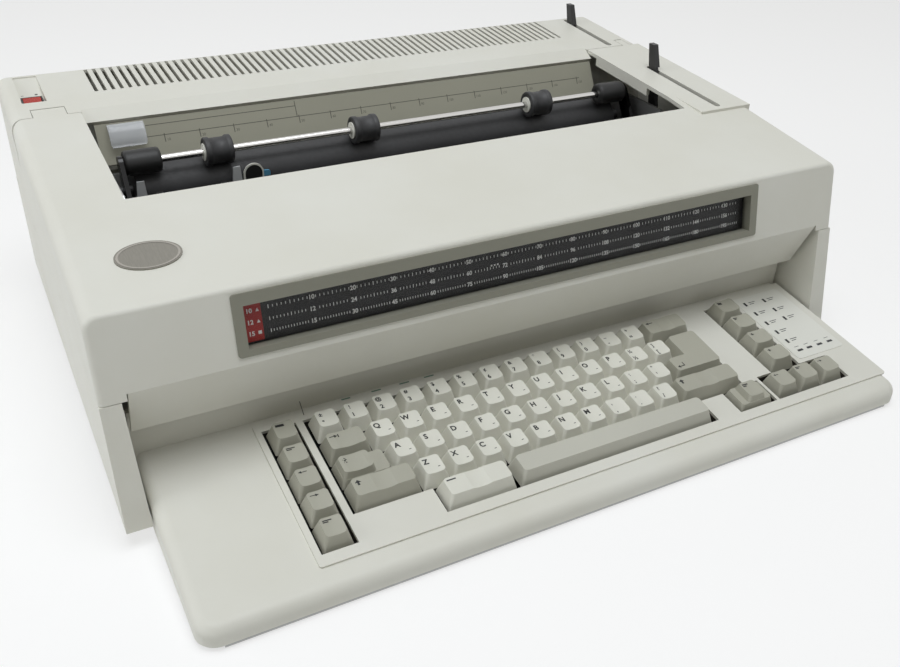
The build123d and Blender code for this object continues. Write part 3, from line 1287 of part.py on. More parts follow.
with BuildPart() as mains_inlet:
    with Locations((inlet_x, rear_y - wall, inlet_z)):
        Box(inlet_w + 6, 2, inlet_h + 6, align=(Align.CENTER, Align.MAX, Align.CENTER))
    with Locations((inlet_x, rear_y - 0.4, inlet_z)):
        Box(inlet_w - 0.6, 20, inlet_h - 0.6, align=(Align.CENTER, Align.MAX, Align.CENTER))
    with Locations((inlet_x, rear_y, inlet_z)):
        Box(inlet_w - 5, 15, inlet_h - 5, align=(Align.CENTER, Align.MAX, Align.CENTER), mode=Mode.SUBTRACT)
    with Locations(*[(inlet_x + dx, rear_y - 3, inlet_z + dz) for dx, dz in ((-7, -1.5), (0, 1.5), (7, -1.5))]):
        Box(2, 13, 4, align=(Align.CENTER, Align.MAX, Align.CENTER))

nodes = {
    "keys_row_1": keys_row_1, "keys_row_2": keys_row_2, "keys_row_3": keys_row_3,
    "keys_row_4": keys_row_4, "key_backspace": key_backspace, "key_tab": key_tab,
    "key_lock": key_lock, "key_shift_left": key_shift_left, "key_shift_right": key_shift_right,
    "key_return": key_return, "key_code": key_code, "spacebar": spacebar, "key_step": key_step,
    "keys_left": keys_left, "keys_right_column": keys_right_column, "keys_right_row": keys_right_row,
    "key_plate": key_plate, "keyboard_tray": keyboard_tray, "tray_floor": tray_floor,
    "lower_case": lower_case, "feet": feet, "top_cover": top_cover, "display_bezel": display_bezel,
    "display_window": display_window, "scale_card": scale_card, "badge": badge,
    "rear_cover": rear_cover, "switch_housing": switch_housing, "power_rocker": power_rocker,
    "side_frames": side_frames, "carrier_rails": carrier_rails, "platen": platen,
    "platen_gear": platen_gear, "platen_pinion": platen_pinion, "platen_motor": platen_motor,
    "bail_frame": bail_frame, "bail_grips": bail_grips, "bail_rollers": bail_rollers,
    "bail_hubs": bail_hubs, "feed_arms": feed_arms, "feed_rollers": feed_rollers,
    "paper_chute": paper_chute, "paper_table": paper_table, "carrier": carrier,
    "card_guide": card_guide, "ribbon_cassette": ribbon_cassette, "tape_spool": tape_spool,
    "wheel_motor": wheel_motor, "print_wheel": print_wheel, "hammer": hammer, "belt": belt,
    "drive_pulley": drive_pulley, "idler_pulley": idler_pulley, "carrier_motor": carrier_motor,
    "bail_lever": bail_lever, "release_lever": release_lever, "power_supply": power_supply,
    "logic_board": logic_board, "mains_inlet": mains_inlet,
}
os.makedirs("parts", exist_ok=True)
for name, node in nodes.items():
    node.part.label = name
    export_step(node.part, "parts/" + name + ".step")
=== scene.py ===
"""Looks of the electronic typewriter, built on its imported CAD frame."""
import json
import math

import bpy
import numpy as np
from mathutils import Matrix, Vector
from mathutils.bvhtree import BVHTree


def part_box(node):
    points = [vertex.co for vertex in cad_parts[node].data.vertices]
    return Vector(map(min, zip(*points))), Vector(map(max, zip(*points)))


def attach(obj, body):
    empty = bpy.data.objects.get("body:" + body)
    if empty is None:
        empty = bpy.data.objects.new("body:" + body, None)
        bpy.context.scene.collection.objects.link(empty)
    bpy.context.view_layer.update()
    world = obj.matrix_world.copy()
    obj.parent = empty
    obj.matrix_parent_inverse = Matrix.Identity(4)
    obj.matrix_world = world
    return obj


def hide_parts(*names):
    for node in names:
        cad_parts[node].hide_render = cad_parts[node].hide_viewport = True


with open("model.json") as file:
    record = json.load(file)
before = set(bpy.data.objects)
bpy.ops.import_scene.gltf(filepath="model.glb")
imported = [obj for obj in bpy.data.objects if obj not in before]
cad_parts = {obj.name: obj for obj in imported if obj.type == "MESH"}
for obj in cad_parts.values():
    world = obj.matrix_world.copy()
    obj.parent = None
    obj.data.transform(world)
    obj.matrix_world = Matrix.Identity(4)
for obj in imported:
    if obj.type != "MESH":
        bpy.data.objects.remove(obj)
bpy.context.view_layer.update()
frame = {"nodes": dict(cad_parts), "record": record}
nodes = frame["nodes"]

# Places on the machine. Lengths are in millimetres, and MM turns them into metres.
MM = 0.001
INCH = 25.4
KEY_MIDDLE = (-4.9, -141.6, 34.8)
KEY_SLOPE = math.radians(9.2)
KEY_UP = (0, math.cos(KEY_SLOPE), math.sin(KEY_SLOPE))
DECK_SLOPE = math.radians(7.8)
DECK_HEIGHT = 25.2      # deck at the line of the keys' middle
PANEL_LEAN = math.radians(10.9)
PANEL_UP = (0, math.sin(PANEL_LEAN), math.cos(PANEL_LEAN))
PANEL_FOOT = (-130.0, 12.0)     # Y and Z of the leaning panel's foot
WINDOW_Z = 115.2
PANEL_MIDDLE = (0, PANEL_FOOT[0] + (WINDOW_Z - PANEL_FOOT[1]) * math.tan(PANEL_LEAN), WINDOW_Z)
WRITING_MIDDLE = 11.6   # X where the figures of the scale are centred
TABLE_FOOT = (0, 113.5, 128.0)
TABLE_UP = (0, 13.5, 25.2)
BAIL_ROD = (0.0, 77.0, 142.0)
BAIL_ARM_X = 204.0      # the bail's arms start here
CARD_Y = (69.0, 70.5)   # front and back of the card guide
TRAY_CORNER = (236.6, -208.0)   # axis of the tray's rounded front corner
SWITCH_WELL = (-244.3, 172.5, 162.0)


# Camera at the photograph's angle
def make_camera():
    place = (-296.4, -547.9, 390.2)
    turn, tilt, roll = -0.50529, 0.56083, 0.03777
    focal_pixels, picture_width = 950.8, 900
    data = bpy.data.cameras.new("camera")
    camera = bpy.data.objects.new("camera", data)
    bpy.context.collection.objects.link(camera)
    camera.matrix_world = (
        Matrix.Translation(Vector(place) * MM)
        @ Matrix.Rotation(turn, 4, "Z")
        @ Matrix.Rotation(math.pi / 2 - tilt, 4, "X")
        @ Matrix.Rotation(roll, 4, "Z")
    )
    data.sensor_width = 36.0
    data.lens = focal_pixels / picture_width * data.sensor_width
    data.clip_start = 0.01
    bpy.context.scene.camera = camera


# Materials
def shader(name):
    material = bpy.data.materials.new(name)
    material.use_nodes = True
    tree = material.node_tree
    return material, tree, tree.nodes["Principled BSDF"]


def link(tree, a, b):
    tree.links.new(a, b)


def noise(tree, scale, detail=3.0, roughness=0.5):
    where = tree.nodes.new("ShaderNodeTexCoord")
    node = tree.nodes.new("ShaderNodeTexNoise")
    node.inputs["Scale"].default_value = scale
    node.inputs["Detail"].default_value = detail
    node.inputs["Roughness"].default_value = roughness
    link(tree, where.outputs["Object"], node.inputs["Vector"])
    return node


def math_node(tree, operation, *values):
    """Math node whose inputs are numbers or the outputs of other nodes."""
    node = tree.nodes.new("ShaderNodeMath")
    node.operation = operation
    for socket, value in zip(node.inputs, values):
        if isinstance(value, float):
            socket.default_value = value
        else:
            link(tree, value, socket)
    return node.outputs["Value"]


def coordinates(tree):
    """Outputs X, Y and Z of the place on the object, in metres."""
    where = tree.nodes.new("ShaderNodeTexCoord")
    axis = tree.nodes.new("ShaderNodeSeparateXYZ")
    link(tree, where.outputs["Object"], axis.inputs["Vector"])
    return axis.outputs


def paint_over(tree, mask, colour):
    """Lay a colour over the shader's own one where the mask is 1."""
    base = tree.nodes["Principled BSDF"].inputs["Base Color"]
    under = base.links[0].from_socket
    mix = tree.nodes.new("ShaderNodeMix")
    mix.data_type = "RGBA"
    link(tree, mask, mix.inputs["Factor"])
    link(tree, under, mix.inputs["A"])
    mix.inputs["B"].default_value = (*colour, 1.0)
    link(tree, mix.outputs["Result"], base)


def ramp(tree, source, stops):
    node = tree.nodes.new("ShaderNodeValToRGB")
    elements = node.color_ramp.elements
    while len(elements) < len(stops):
        elements.new(0.5)
    for element, (place, colour) in zip(elements, stops):
        element.position = place
        element.color = (*colour, 1.0)
    link(tree, source, node.inputs["Fac"])
    return node


def scaled(colour, k):
    return tuple(min(1.0, c * k) for c in colour)


def bump(tree, bsdf, source, strength, distance):
    node = tree.nodes.new("ShaderNodeBump")
    node.inputs["Strength"].default_value = strength
    node.inputs["Distance"].default_value = distance
    link(tree, source, node.inputs["Height"])
    link(tree, node.outputs["Normal"], bsdf.inputs["Normal"])


def moulded(name, colour, rough=0.5, grain=900.0, depth=0.25, mottle=0.035, age=None):
    """Moulded plastic: fine spark-eroded grain, faint mottling, and yellowing in soft patches."""
    material, tree, bsdf = shader(name)
    large = noise(tree, 9.0, 4.0, 0.6)
    aged = age or scaled(colour, 0.97)
    tone = ramp(tree, large.outputs["Fac"], [(0.30, scaled(aged, 1 - mottle)), (0.72, colour)])
    link(tree, tone.outputs["Color"], bsdf.inputs["Base Color"])
    fine = noise(tree, grain, 3.0, 0.6)
    gloss = ramp(tree, fine.outputs["Fac"], [(0.3, (rough - 0.06,) * 3), (0.7, (rough + 0.06,) * 3)])
    link(tree, gloss.outputs["Color"], bsdf.inputs["Roughness"])
    bump(tree, bsdf, fine.outputs["Fac"], depth, 0.0002)
    bsdf.inputs["Specular IOR Level"].default_value = 0.30
    return material


def metal(name, colour, rough=0.28, streak=(4.0, 260.0, 260.0), depth=0.12):
    """Drawn or ground steel: long fine streaks along one axis."""
    material, tree, bsdf = shader(name)
    where = tree.nodes.new("ShaderNodeTexCoord")
    stretch = tree.nodes.new("ShaderNodeMapping")
    stretch.inputs["Scale"].default_value = streak
    link(tree, where.outputs["Object"], stretch.inputs["Vector"])
    lines = tree.nodes.new("ShaderNodeTexNoise")
    lines.inputs["Scale"].default_value = 6.0
    lines.inputs["Detail"].default_value = 5.0
    link(tree, stretch.outputs["Vector"], lines.inputs["Vector"])
    tone = ramp(tree, lines.outputs["Fac"], [(0.25, scaled(colour, 0.86)), (0.75, colour)])
    link(tree, tone.outputs["Color"], bsdf.inputs["Base Color"])
    gloss = ramp(tree, lines.outputs["Fac"], [(0.2, (rough + 0.08,) * 3), (0.8, (rough - 0.06,) * 3)])
    link(tree, gloss.outputs["Color"], bsdf.inputs["Roughness"])
    bump(tree, bsdf, lines.outputs["Fac"], depth, 0.0001)
    bsdf.inputs["Metallic"].default_value = 1.0
    return material


def rubbery(name, colour):
    """Ground rubber: dusty bloom over a fine grain."""
    rough, scale = 0.55, 420.0
    material, tree, bsdf = shader(name)
    dust = noise(tree, 24.0, 6.0, 0.65)
    tone = ramp(tree, dust.outputs["Fac"], [(0.35, colour), (0.85, scaled(colour, 2.1))])
    link(tree, tone.outputs["Color"], bsdf.inputs["Base Color"])
    grain = noise(tree, scale, 4.0, 0.6)
    gloss = ramp(tree, grain.outputs["Fac"], [(0.2, (rough - 0.1,) * 3), (0.8, (rough + 0.1,) * 3)])
    link(tree, gloss.outputs["Color"], bsdf.inputs["Roughness"])
    bump(tree, bsdf, grain.outputs["Fac"], 0.3, 0.0001)
    return material


def clear(name, colour, alpha, rough=0.05):
    """Clear plastic with faint smears, seen through as far as alpha lets it."""
    material, tree, bsdf = shader(name)
    smear = noise(tree, 35.0, 4.0, 0.6)
    gloss = ramp(tree, smear.outputs["Fac"], [(0.3, (rough,) * 3), (0.9, (rough + 0.10,) * 3)])
    link(tree, gloss.outputs["Color"], bsdf.inputs["Roughness"])
    bsdf.inputs["Base Color"].default_value = (*colour, 1.0)
    bsdf.inputs["Alpha"].default_value = alpha
    return material


def printed(name, colour, rough=0.5):
    """Printing ink with slightly uneven cover."""
    material, tree, bsdf = shader(name)
    cover = noise(tree, 1500.0, 2.0, 0.5)
    tone = ramp(tree, cover.outputs["Fac"], [(0.3, scaled(colour, 0.85)), (0.7, colour)])
    link(tree, tone.outputs["Color"], bsdf.inputs["Base Color"])
    bsdf.inputs["Roughness"].default_value = rough
    return material


def case_plastic(name):
    return moulded(name, (0.72, 0.71, 0.655), 0.50, 1100.0, 0.22, 0.03, (0.70, 0.685, 0.615))


def bright_steel(name):
    return metal(name, (0.62, 0.61, 0.59), 0.16, (0.6, 260.0, 260.0), 0.05)


def rod_and_arms():
    """Bright rod with blackened arms at its two ends."""
    material = bright_steel("bail_steel")
    tree = material.node_tree
    off_middle = math_node(tree, "ABSOLUTE", coordinates(tree)["X"])
    paint_over(tree, math_node(tree, "GREATER_THAN", off_middle, BAIL_ARM_X * MM), (0.03, 0.03, 0.03))
    return material


def tray_with_painted_well_shade():
    """Case plastic with painted shade on the walls of the key wells, below the deck's slope."""
    rim, front, side = 0.9, -209.0, 235.0
    material = case_plastic("tray_plastic")
    tree = material.node_tree
    place = coordinates(tree)
    slope = math.tan(DECK_SLOPE)
    middle = (DECK_HEIGHT - KEY_MIDDLE[1] * slope - rim) * MM
    deck = math_node(tree, "MULTIPLY_ADD", place["Y"], slope, middle)
    below = math_node(tree, "GREATER_THAN", deck, place["Z"])
    behind = math_node(tree, "GREATER_THAN", place["Y"], front * MM)
    between = math_node(tree, "LESS_THAN", math_node(tree, "ABSOLUTE", place["X"]), side * MM)
    mask = math_node(tree, "MULTIPLY", math_node(tree, "MULTIPLY", below, behind), between)
    # Painted shade: near-black laid on the well walls below the deck, where shade falls.
    paint_over(tree, mask, (0.045, 0.04, 0.032))
    return material


# One material for each slot of the record, and some for single pieces
MATERIALS = {
    "case_plastic": case_plastic("case_plastic"),
    "bezel_plastic": moulded("bezel_plastic", (0.25, 0.245, 0.20), 0.45, 1100.0, 0.20),
    "window_glass": clear("window_glass", (0.03, 0.03, 0.03), 0.14, 0.05),
    "scale_print": printed("scale_card", (0.012, 0.012, 0.012), 0.45),
    "light_keys": moulded("light_keys", (0.74, 0.73, 0.655), 0.48, 1500.0, 0.18, 0.03),
    "dark_keys": moulded("dark_keys", (0.42, 0.41, 0.345), 0.48, 1500.0, 0.18, 0.03),
    "plate_steel": metal("plate_steel", (0.42, 0.42, 0.41), 0.38),
    "rod_steel": bright_steel("rod_steel"),
    "platen_rubber": rubbery("platen_rubber", (0.014, 0.014, 0.015)),
    "dark_plastic": moulded("dark_plastic", (0.018, 0.018, 0.018), 0.45, 900.0, 0.2, 0.1),
    "white_plastic": moulded("white_plastic", (0.78, 0.77, 0.70), 0.40, 1200.0, 0.12),
    "lever_plastic": moulded("lever_plastic", (0.03, 0.03, 0.03), 0.42, 1200.0, 0.2, 0.1),
    "rocker_red": moulded("rocker_red", (0.42, 0.02, 0.008), 0.25, 1500.0, 0.08),
    "clear_plastic": clear("clear_plastic", (0.72, 0.74, 0.78), 0.38, 0.12),
    "belt_rubber": rubbery("belt_rubber", (0.02, 0.02, 0.02)),
    "board_green": moulded("board_green", (0.02, 0.09, 0.04), 0.35, 1500.0, 0.1),
    "badge_print": metal("badge_print", (0.42, 0.40, 0.36), 0.30, (260.0, 4.0, 260.0)),
    "spacebar": moulded("spacebar", (0.55, 0.54, 0.475), 0.48, 1500.0, 0.18, 0.03),
    # Key plate near-black: painted shade for the gaps between the keys.
    "key_plate": moulded("key_plate", (0.016, 0.016, 0.016), 0.5, 900.0, 0.2, 0.1),
    "label_plate": moulded("label_plate", (0.76, 0.755, 0.70), 0.35, 1500.0, 0.06),
    "paper_table": moulded("paper_table", (0.34, 0.33, 0.265), 0.50, 1100.0, 0.22),
    "bail_steel": rod_and_arms(),
    "tray_plastic": tray_with_painted_well_shade(),
    "card_plastic": clear("card_plastic", (0.74, 0.75, 0.76), 0.60, 0.15),
    "latch_blue": moulded("latch_blue", (0.10, 0.32, 0.50), 0.4, 1200.0, 0.1),
    "badge_face": metal("badge_face", (0.26, 0.25, 0.22), 0.34, (260.0, 4.0, 260.0)),
}
# Nodes that don't wear the material of their slot
OWN_MATERIAL = {
    "paper_table": "paper_table", "spacebar": "spacebar", "key_plate": "key_plate",
    "bail_frame": "bail_steel", "badge": "badge_face", "keyboard_tray": "tray_plastic",
    "card_guide": "card_plastic",
}
INK = printed("ink_black", (0.012, 0.012, 0.013), 0.5)
INK_GREEN = printed("ink_green", (0.16, 0.27, 0.20), 0.5)
INK_WHITE = printed("ink_white", (0.82, 0.82, 0.80), 0.5)
INK_RED = printed("ink_red", (0.36, 0.014, 0.010), 0.5)
# Dark line ink for the paper table's print, also used as painted shade for the deck's groove.
INK_LINE_AND_GROOVE_SHADE = printed("line_ink_and_groove_shade", (0.10, 0.095, 0.075), 0.6)


def dress_nodes():
    for entry in frame["record"]["subparts"]:
        name = entry["node"]
        material = MATERIALS[OWN_MATERIAL.get(name, entry["material_slot"])]
        mesh = nodes[name].data
        mesh.materials.clear()
        mesh.materials.append(material)
        for polygon in mesh.polygons:
            polygon.material_index = 0


# Flat print that follows the surface under it
class Plane:
    """A drawing plane: x and y in millimetres from its origin, thrown onto a node along its normal."""

    def __init__(self, origin, across, up, node):
        self.origin = Vector(origin)
        self.across = Vector(across).normalized()
        self.up = Vector(up).normalized()
        self.normal = self.across.cross(self.up)
        self.tree = tree_of(node) if node else None

    def point(self, x, y, lift):
        flat = self.origin + self.across * x + self.up * y
        if self.tree:
            far_above = 25
            start = (flat + self.normal * far_above) * MM
            hit = self.tree.ray_cast(start, -self.normal)[0]
            if hit:
                flat = hit / MM
        return (flat + self.normal * lift) * MM


def tree_of(name):
    mesh = nodes[name].data
    return BVHTree.FromPolygons([v.co for v in mesh.vertices], [p.vertices for p in mesh.polygons])


class Print:
    """One printed piece: outlines and characters, gathered into one mesh."""

    def __init__(self, name, body, slot, material):
        self.name, self.body, self.slot, self.material = name, body, slot, material
        self.points, self.faces = [], []

    def outline(self, plane, points, lift=0.04):
        first = len(self.points)
        self.points += [plane.point(x, y, lift) for x, y in points]
        self.faces.append(tuple(range(first, len(self.points))))

    def bar(self, plane, x0, y0, x1, y1, lift=0.04, parts=1):
        for i in range(parts):
            a = x0 + (x1 - x0) * i / parts
            b = x0 + (x1 - x0) * (i + 1) / parts
            self.outline(plane, [(a, y0), (b, y0), (b, y1), (a, y1)], lift)

    def sign(self, plane, shape, x, y, w, h, lift=0.04):
        for part in SIGNS[shape]:
            self.outline(plane, [(x + (u - 0.5) * w, y + (v - 0.5) * h) for u, v in part], lift)

    def text(self, plane, words, x, y, height, align="CENTER", bold=0.0, lift=0.04):
        curve = bpy.data.curves.new("words", "FONT")
        curve.body = words
        curve.align_x = align
        curve.offset = bold
        curve.resolution_u = 3
        holder = bpy.data.objects.new("words", curve)
        mesh = bpy.data.meshes.new_from_object(holder)
        bpy.data.objects.remove(holder)
        capital = 0.7
        k = height / capital
        first = len(self.points)
        self.points += [plane.point(x + v.co.x * k, y + v.co.y * k, lift) for v in mesh.vertices]
        self.faces += [tuple(first + i for i in p.vertices) for p in mesh.polygons]
        bpy.data.meshes.remove(mesh)

    def done(self):
        piece(self.name, self.points, self.faces, self.material, self.body)


# Outlines of the signs, in a square from 0 to 1
SIGNS = {
    "left": [[(0, 0.5), (0.4, 0), (0.4, 1)], [(0.4, 0.36), (1, 0.36), (1, 0.64), (0.4, 0.64)]],
    "right": [[(1, 0.5), (0.6, 1), (0.6, 0)], [(0, 0.36), (0.6, 0.36), (0.6, 0.64), (0, 0.64)]],
    "up": [[(0.5, 1), (0, 0.5), (1, 0.5)], [(0.33, 0), (0.67, 0), (0.67, 0.5), (0.33, 0.5)]],
    "down": [[(0.5, 0), (1, 0.5), (0, 0.5)], [(0.33, 0.5), (0.67, 0.5), (0.67, 1), (0.33, 1)]],
    "tab": [[(0.85, 0.5), (0.5, 1), (0.5, 0)], [(0, 0.38), (0.5, 0.38), (0.5, 0.62), (0, 0.62)],
            [(0.88, 0), (1, 0), (1, 1), (0.88, 1)]],
    "lock": [[(0.5, 1), (0, 0.55), (1, 0.55)], [(0.33, 0.28), (0.67, 0.28), (0.67, 0.55), (0.33, 0.55)],
             [(0.2, 0), (0.8, 0), (0.8, 0.16), (0.2, 0.16)]],
    "return": [[(0, 0.3), (0.35, 0), (0.35, 0.6)], [(0.35, 0.22), (1, 0.22), (1, 0.38), (0.35, 0.38)],
               [(0.88, 0.38), (1, 0.38), (1, 1), (0.88, 1)]],
    "bars": [[(0, 0.6), (1, 0.6), (1, 1), (0, 1)], [(0, 0), (0.6, 0), (0.6, 0.4), (0, 0.4)]],
    "bar": [[(0, 0), (1, 0), (1, 1), (0, 1)]],
    "triangle": [[(0.5, 1), (0, 0), (1, 0)]],
}


def piece(name, points, faces, material, body, smooth=False, replaces=()):
    mesh = bpy.data.meshes.new(name)
    mesh.from_pydata([tuple(p) for p in points], [], faces)
    mesh.update()
    mesh.materials.append(material)
    if smooth:
        mesh.polygons.foreach_set("use_smooth", [True] * len(mesh.polygons))
    obj = bpy.data.objects.new(name, mesh)
    bpy.context.collection.objects.link(obj)
    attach(obj, body)
    if replaces:
        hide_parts(*replaces)


# Key tops
def key_plane(node):
    return Plane(KEY_MIDDLE, (1, 0, 0), KEY_UP, node)


def cap_tops(node, along_x=True):
    """Middle and half sizes of each dished top of a key node, in the key plane."""
    dish, gap, level = 2.2, 0.8, 0.8
    plane = key_plane(None)
    mesh = nodes[node].data
    points = np.array([v.co[:] for v in mesh.vertices]) / MM - np.array(plane.origin)
    x = points @ np.array(plane.across)
    y = points @ np.array(plane.up)
    h = points @ np.array(plane.normal)
    spans = []
    for polygon in mesh.polygons:
        own = list(polygon.vertices)
        if h[own].min() > h.max() - dish and abs(polygon.normal.dot(plane.normal)) > level:
            spans.append((x[own].min(), x[own].max(), y[own].min(), y[own].max()))
    first = 0 if along_x else 2
    spans.sort(key=lambda span: span[first])
    groups = []
    for span in spans:
        if groups and span[first] < groups[-1][first + 1] + gap:
            last = groups[-1]
            groups[-1] = (min(last[0], span[0]), max(last[1], span[1]),
                          min(last[2], span[2]), max(last[3], span[3]))
        else:
            groups.append(span)
    return [((a + b) / 2, (c + d) / 2, (b - a) / 2, (d - c) / 2) for a, b, c, d in groups]


# Characters from left to right: one alone, or the lower and the upper one
LETTERS = {
    "keys_row_1": ["\u00b0\u00b1", "1!", "2@", "3#", "4$", "5%", "6\u00a2", "7&", "8*", "9(", "0)", "-_",
                   "=+"],
    "keys_row_2": ["Q", "W", "E", "R", "T", "Y", "U", "I", "O", "P", "\u00bd\u00bc", "[]"],
    "keys_row_3": ["A", "S", "D", "F", "G", "H", "J", "K", "L", ";:", "'\""],
    "keys_row_4": ["Z", "X", "C", "V", "B", "N", "M", ",,", "..", "/?"],
}
# Signs of each node's keys, with their width and height
KEY_SIGNS = {
    "key_backspace": (["left"], 6.0, 2.4),
    "key_tab": (["tab"], 6.0, 2.6),
    "key_lock": (["lock"], 3.4, 4.0),
    "key_shift_left": (["up"], 4.0, 4.0),
    "key_shift_right": (["up"], 4.0, 4.0),
    "key_return": (["return"], 6.0, 4.6),
    "key_code": (["bar"], 6.0, 0.9),
    "key_step": (["bars"], 5.0, 2.4),
    "keys_left": (["bars", "right", "left", "bars", "bar"], 5.4, 1.9),
    "keys_right_column": (["up", "down", "bars", "bar"], 4.2, 2.2),
    "keys_right_row": (["left", "bars", "right"], 4.6, 1.9),
}


def print_keys():
    for node, legends in LETTERS.items():
        plane = key_plane(node)
        ink = Print(node + "_letters", node, "light_keys", INK)
        tops = cap_tops(node)
        assert len(tops) == len(legends), (node, len(tops))
        for (x, y, half_x, half_y), words in zip(tops, legends):
            left = x - half_x + 3.3
            if len(words) == 1:
                ink.text(plane, words, left, y + half_y - 5.6, 3.7, bold=0.035)
                ink.bar(plane, x + half_x - 3.6, y - 3.0, x + half_x - 2.2, y - 2.5)
            else:
                ink.text(plane, words[1], left, y + half_y - 4.5, 2.9, bold=0.03)
                ink.text(plane, words[0], left, y - half_y + 1.9, 3.2, bold=0.03)
        ink.done()
    for node, (signs, w, h) in KEY_SIGNS.items():
        plane = key_plane(node)
        slot = "light_keys" if node == "key_code" else "dark_keys"
        ink = Print(node + "_signs", node, slot, INK)
        tops = cap_tops(node, along_x=node not in ("keys_left", "keys_right_column"))
        assert len(tops) >= len(signs), (node, len(tops))
        for (x, y, half_x, half_y), sign in zip(tops, signs):
            up = -half_y + 2.0 + h / 2 if node == "key_return" else half_y - 1.8 - h / 2
            ink.sign(plane, sign, x - half_x + 1.6 + w / 2, y + up, w, h)
        ink.done()


# Scale behind the window
def print_scale():
    left, right = -167.5, 176.0
    figures, figure_height, figure_drop = 6, 2.6, 1.3
    plane = Plane(PANEL_MIDDLE, (1, 0, 0), PANEL_UP, "scale_card")
    ink = Print("scale_print", "top_cover", "scale_print", INK_WHITE)
    for y, per_inch in ((5.6, 10), (-1.6, 12), (-8.8, 15)):
        for i in range(-figures, figures + 1):
            number = str((i + figures + 1) * per_inch)
            ink.text(plane, number, WRITING_MIDDLE + INCH * i, y - figure_drop, figure_height, bold=0.03)
        for k in range(-int(7.2 * per_inch), int(6.6 * per_inch) + 1):
            x = WRITING_MIDDLE + INCH * k / per_inch
            off_figure = min(k % per_inch, per_inch - k % per_inch) * INCH / per_inch
            at_figure = off_figure < 2.2 and abs(k) < (figures + 0.5) * per_inch
            if at_figure or not left < x < right:
                continue
            tall = 2.2 if (2 * k) % per_inch == 0 else 1.5
            ink.bar(plane, x - 0.21, y - tall / 2, x + 0.21, y + tall / 2)
    for k in range(3):
        ink.bar(plane, -24.0 + 2.2 * k, -0.6, -22.9 + 2.2 * k, 0.5)
    ink.done()
    red = Print("scale_red", "top_cover", "scale_print", INK_RED)
    red.bar(plane, -180.5, -13.0, -170.5, 9.6, 0.03)
    red.done()
    marks = Print("scale_red_marks", "top_cover", "scale_print", INK_WHITE)
    for y, words, sign in ((5.2, "10", "triangle"), (-1.6, "12", "triangle"), (-8.4, "15", "bar")):
        marks.text(plane, words, -177.4, y - figure_drop, figure_height, bold=0.03, lift=0.06)
        marks.sign(plane, sign, -172.6, y, 2.0, 2.0, 0.06)
    marks.done()


# Marks and flap of the paper table
def print_table():
    left, right = -204, 192
    line, upper_line, split, thick = 15.6, 23.6, -66, 0.5
    plane = Plane(TABLE_FOOT, (1, 0, 0), TABLE_UP, "paper_table")
    ink = Print("table_lines", "case", "bezel_plastic", INK_LINE_AND_GROOVE_SHADE)
    ink.bar(plane, left, line, right, line + thick, parts=12)
    ink.bar(plane, -178, upper_line, split, upper_line + thick, parts=6)
    ink.bar(plane, split - 0.3, line, split + 0.3, 27.6)
    for i in range(-8, 8):
        x = WRITING_MIDDLE + INCH * i
        if left < x < right:
            ink.bar(plane, x - 0.3, 10.8, x + 0.3, 16.9)
            if i > -8:
                ink.text(plane, str(10 * (i + 8)), x + 1.2, 11.4, 1.9, "LEFT")
    ink.done()


def edge_guide():
    """Clear flap at the left end of the paper table that holds the sheet's edge."""
    profile = [(1.0, 27.4), (3.2, 27.0), (5.4, 24.6), (6.4, 21.0), (6.6, 16.5), (6.2, 12.5), (5.2, 10.4)]
    cut = (-204.5, -203.5, -192.0, -180.5, -179.5)
    thick, chamfer = 0.9, 1.0
    up = Vector(TABLE_UP).normalized()
    out = Vector((0, -up.z, up.y))
    foot = Vector(TABLE_FOOT)

    def on_table(x, forward, y):
        return (Vector((x, 0, 0)) + foot + up * y + out * forward) * MM

    points, faces = [], []
    for skin in (0.0, thick):
        for i, (forward, y) in enumerate(profile):
            for x in cut:
                inset = chamfer if i == len(profile) - 1 and x in (cut[0], cut[-1]) else 0.0
                points.append(on_table(x + math.copysign(inset, cut[2] - x), forward + skin, y))
    wide = len(cut)
    size = wide * len(profile)
    for layer, flip in ((0, True), (size, False)):
        for i in range(len(profile) - 1):
            for k in range(wide - 1):
                q = [layer + i * wide + k, layer + (i + 1) * wide + k,
                     layer + (i + 1) * wide + k + 1, layer + i * wide + k + 1]
                faces.append(tuple(reversed(q)) if flip else tuple(q))
    top_row = list(range(wide))
    right_side = [(i + 1) * wide - 1 for i in range(1, len(profile))]
    bottom_row = [size - 1 - k for k in range(1, wide)]
    left_side = [i * wide for i in range(len(profile) - 2, 0, -1)]
    rim = top_row + right_side + bottom_row + left_side
    for n, a in enumerate(rim):
        b = rim[(n + 1) % len(rim)]
        faces.append((a, b, b + size, a + size))
    piece("edge_guide", points, faces, MATERIALS["clear_plastic"], "case", smooth=True)
    stems, stem_faces = [], []
    for x in (-201.0, -183.0):
        first = len(stems)
        for y in (26.6, 24.8):
            for forward in (-0.1, 4.6):
                for half in (-0.8, 0.8):
                    stems.append(on_table(x + half, forward, y))
        stem_faces += [tuple(first + i for i in q) for q in
                       ((0, 1, 3, 2), (4, 6, 7, 5), (0, 4, 5, 1), (2, 3, 7, 6), (0, 2, 6, 4), (1, 5, 7, 3))]
    piece("edge_guide_stems", stems, stem_faces, MATERIALS["clear_plastic"], "case")


# Marks on the deck, the label plate and the switch well
def arc(cx, cy, r, start, stop, steps):
    """Points on an arc, from one angle in degrees to another."""
    angles = [math.radians(start + (stop - start) * i / steps) for i in range(steps + 1)]
    return [(cx + r * math.cos(a), cy + r * math.sin(a)) for a in angles]


def rounded(x0, y0, x1, y1, r):
    corners = ((x1 - r, y1 - r, 0), (x0 + r, y1 - r, 90), (x0 + r, y0 + r, 180), (x1 - r, y0 + r, 270))
    return [point for cx, cy, start in corners for point in arc(cx, cy, r, start, start + 90, 5)]


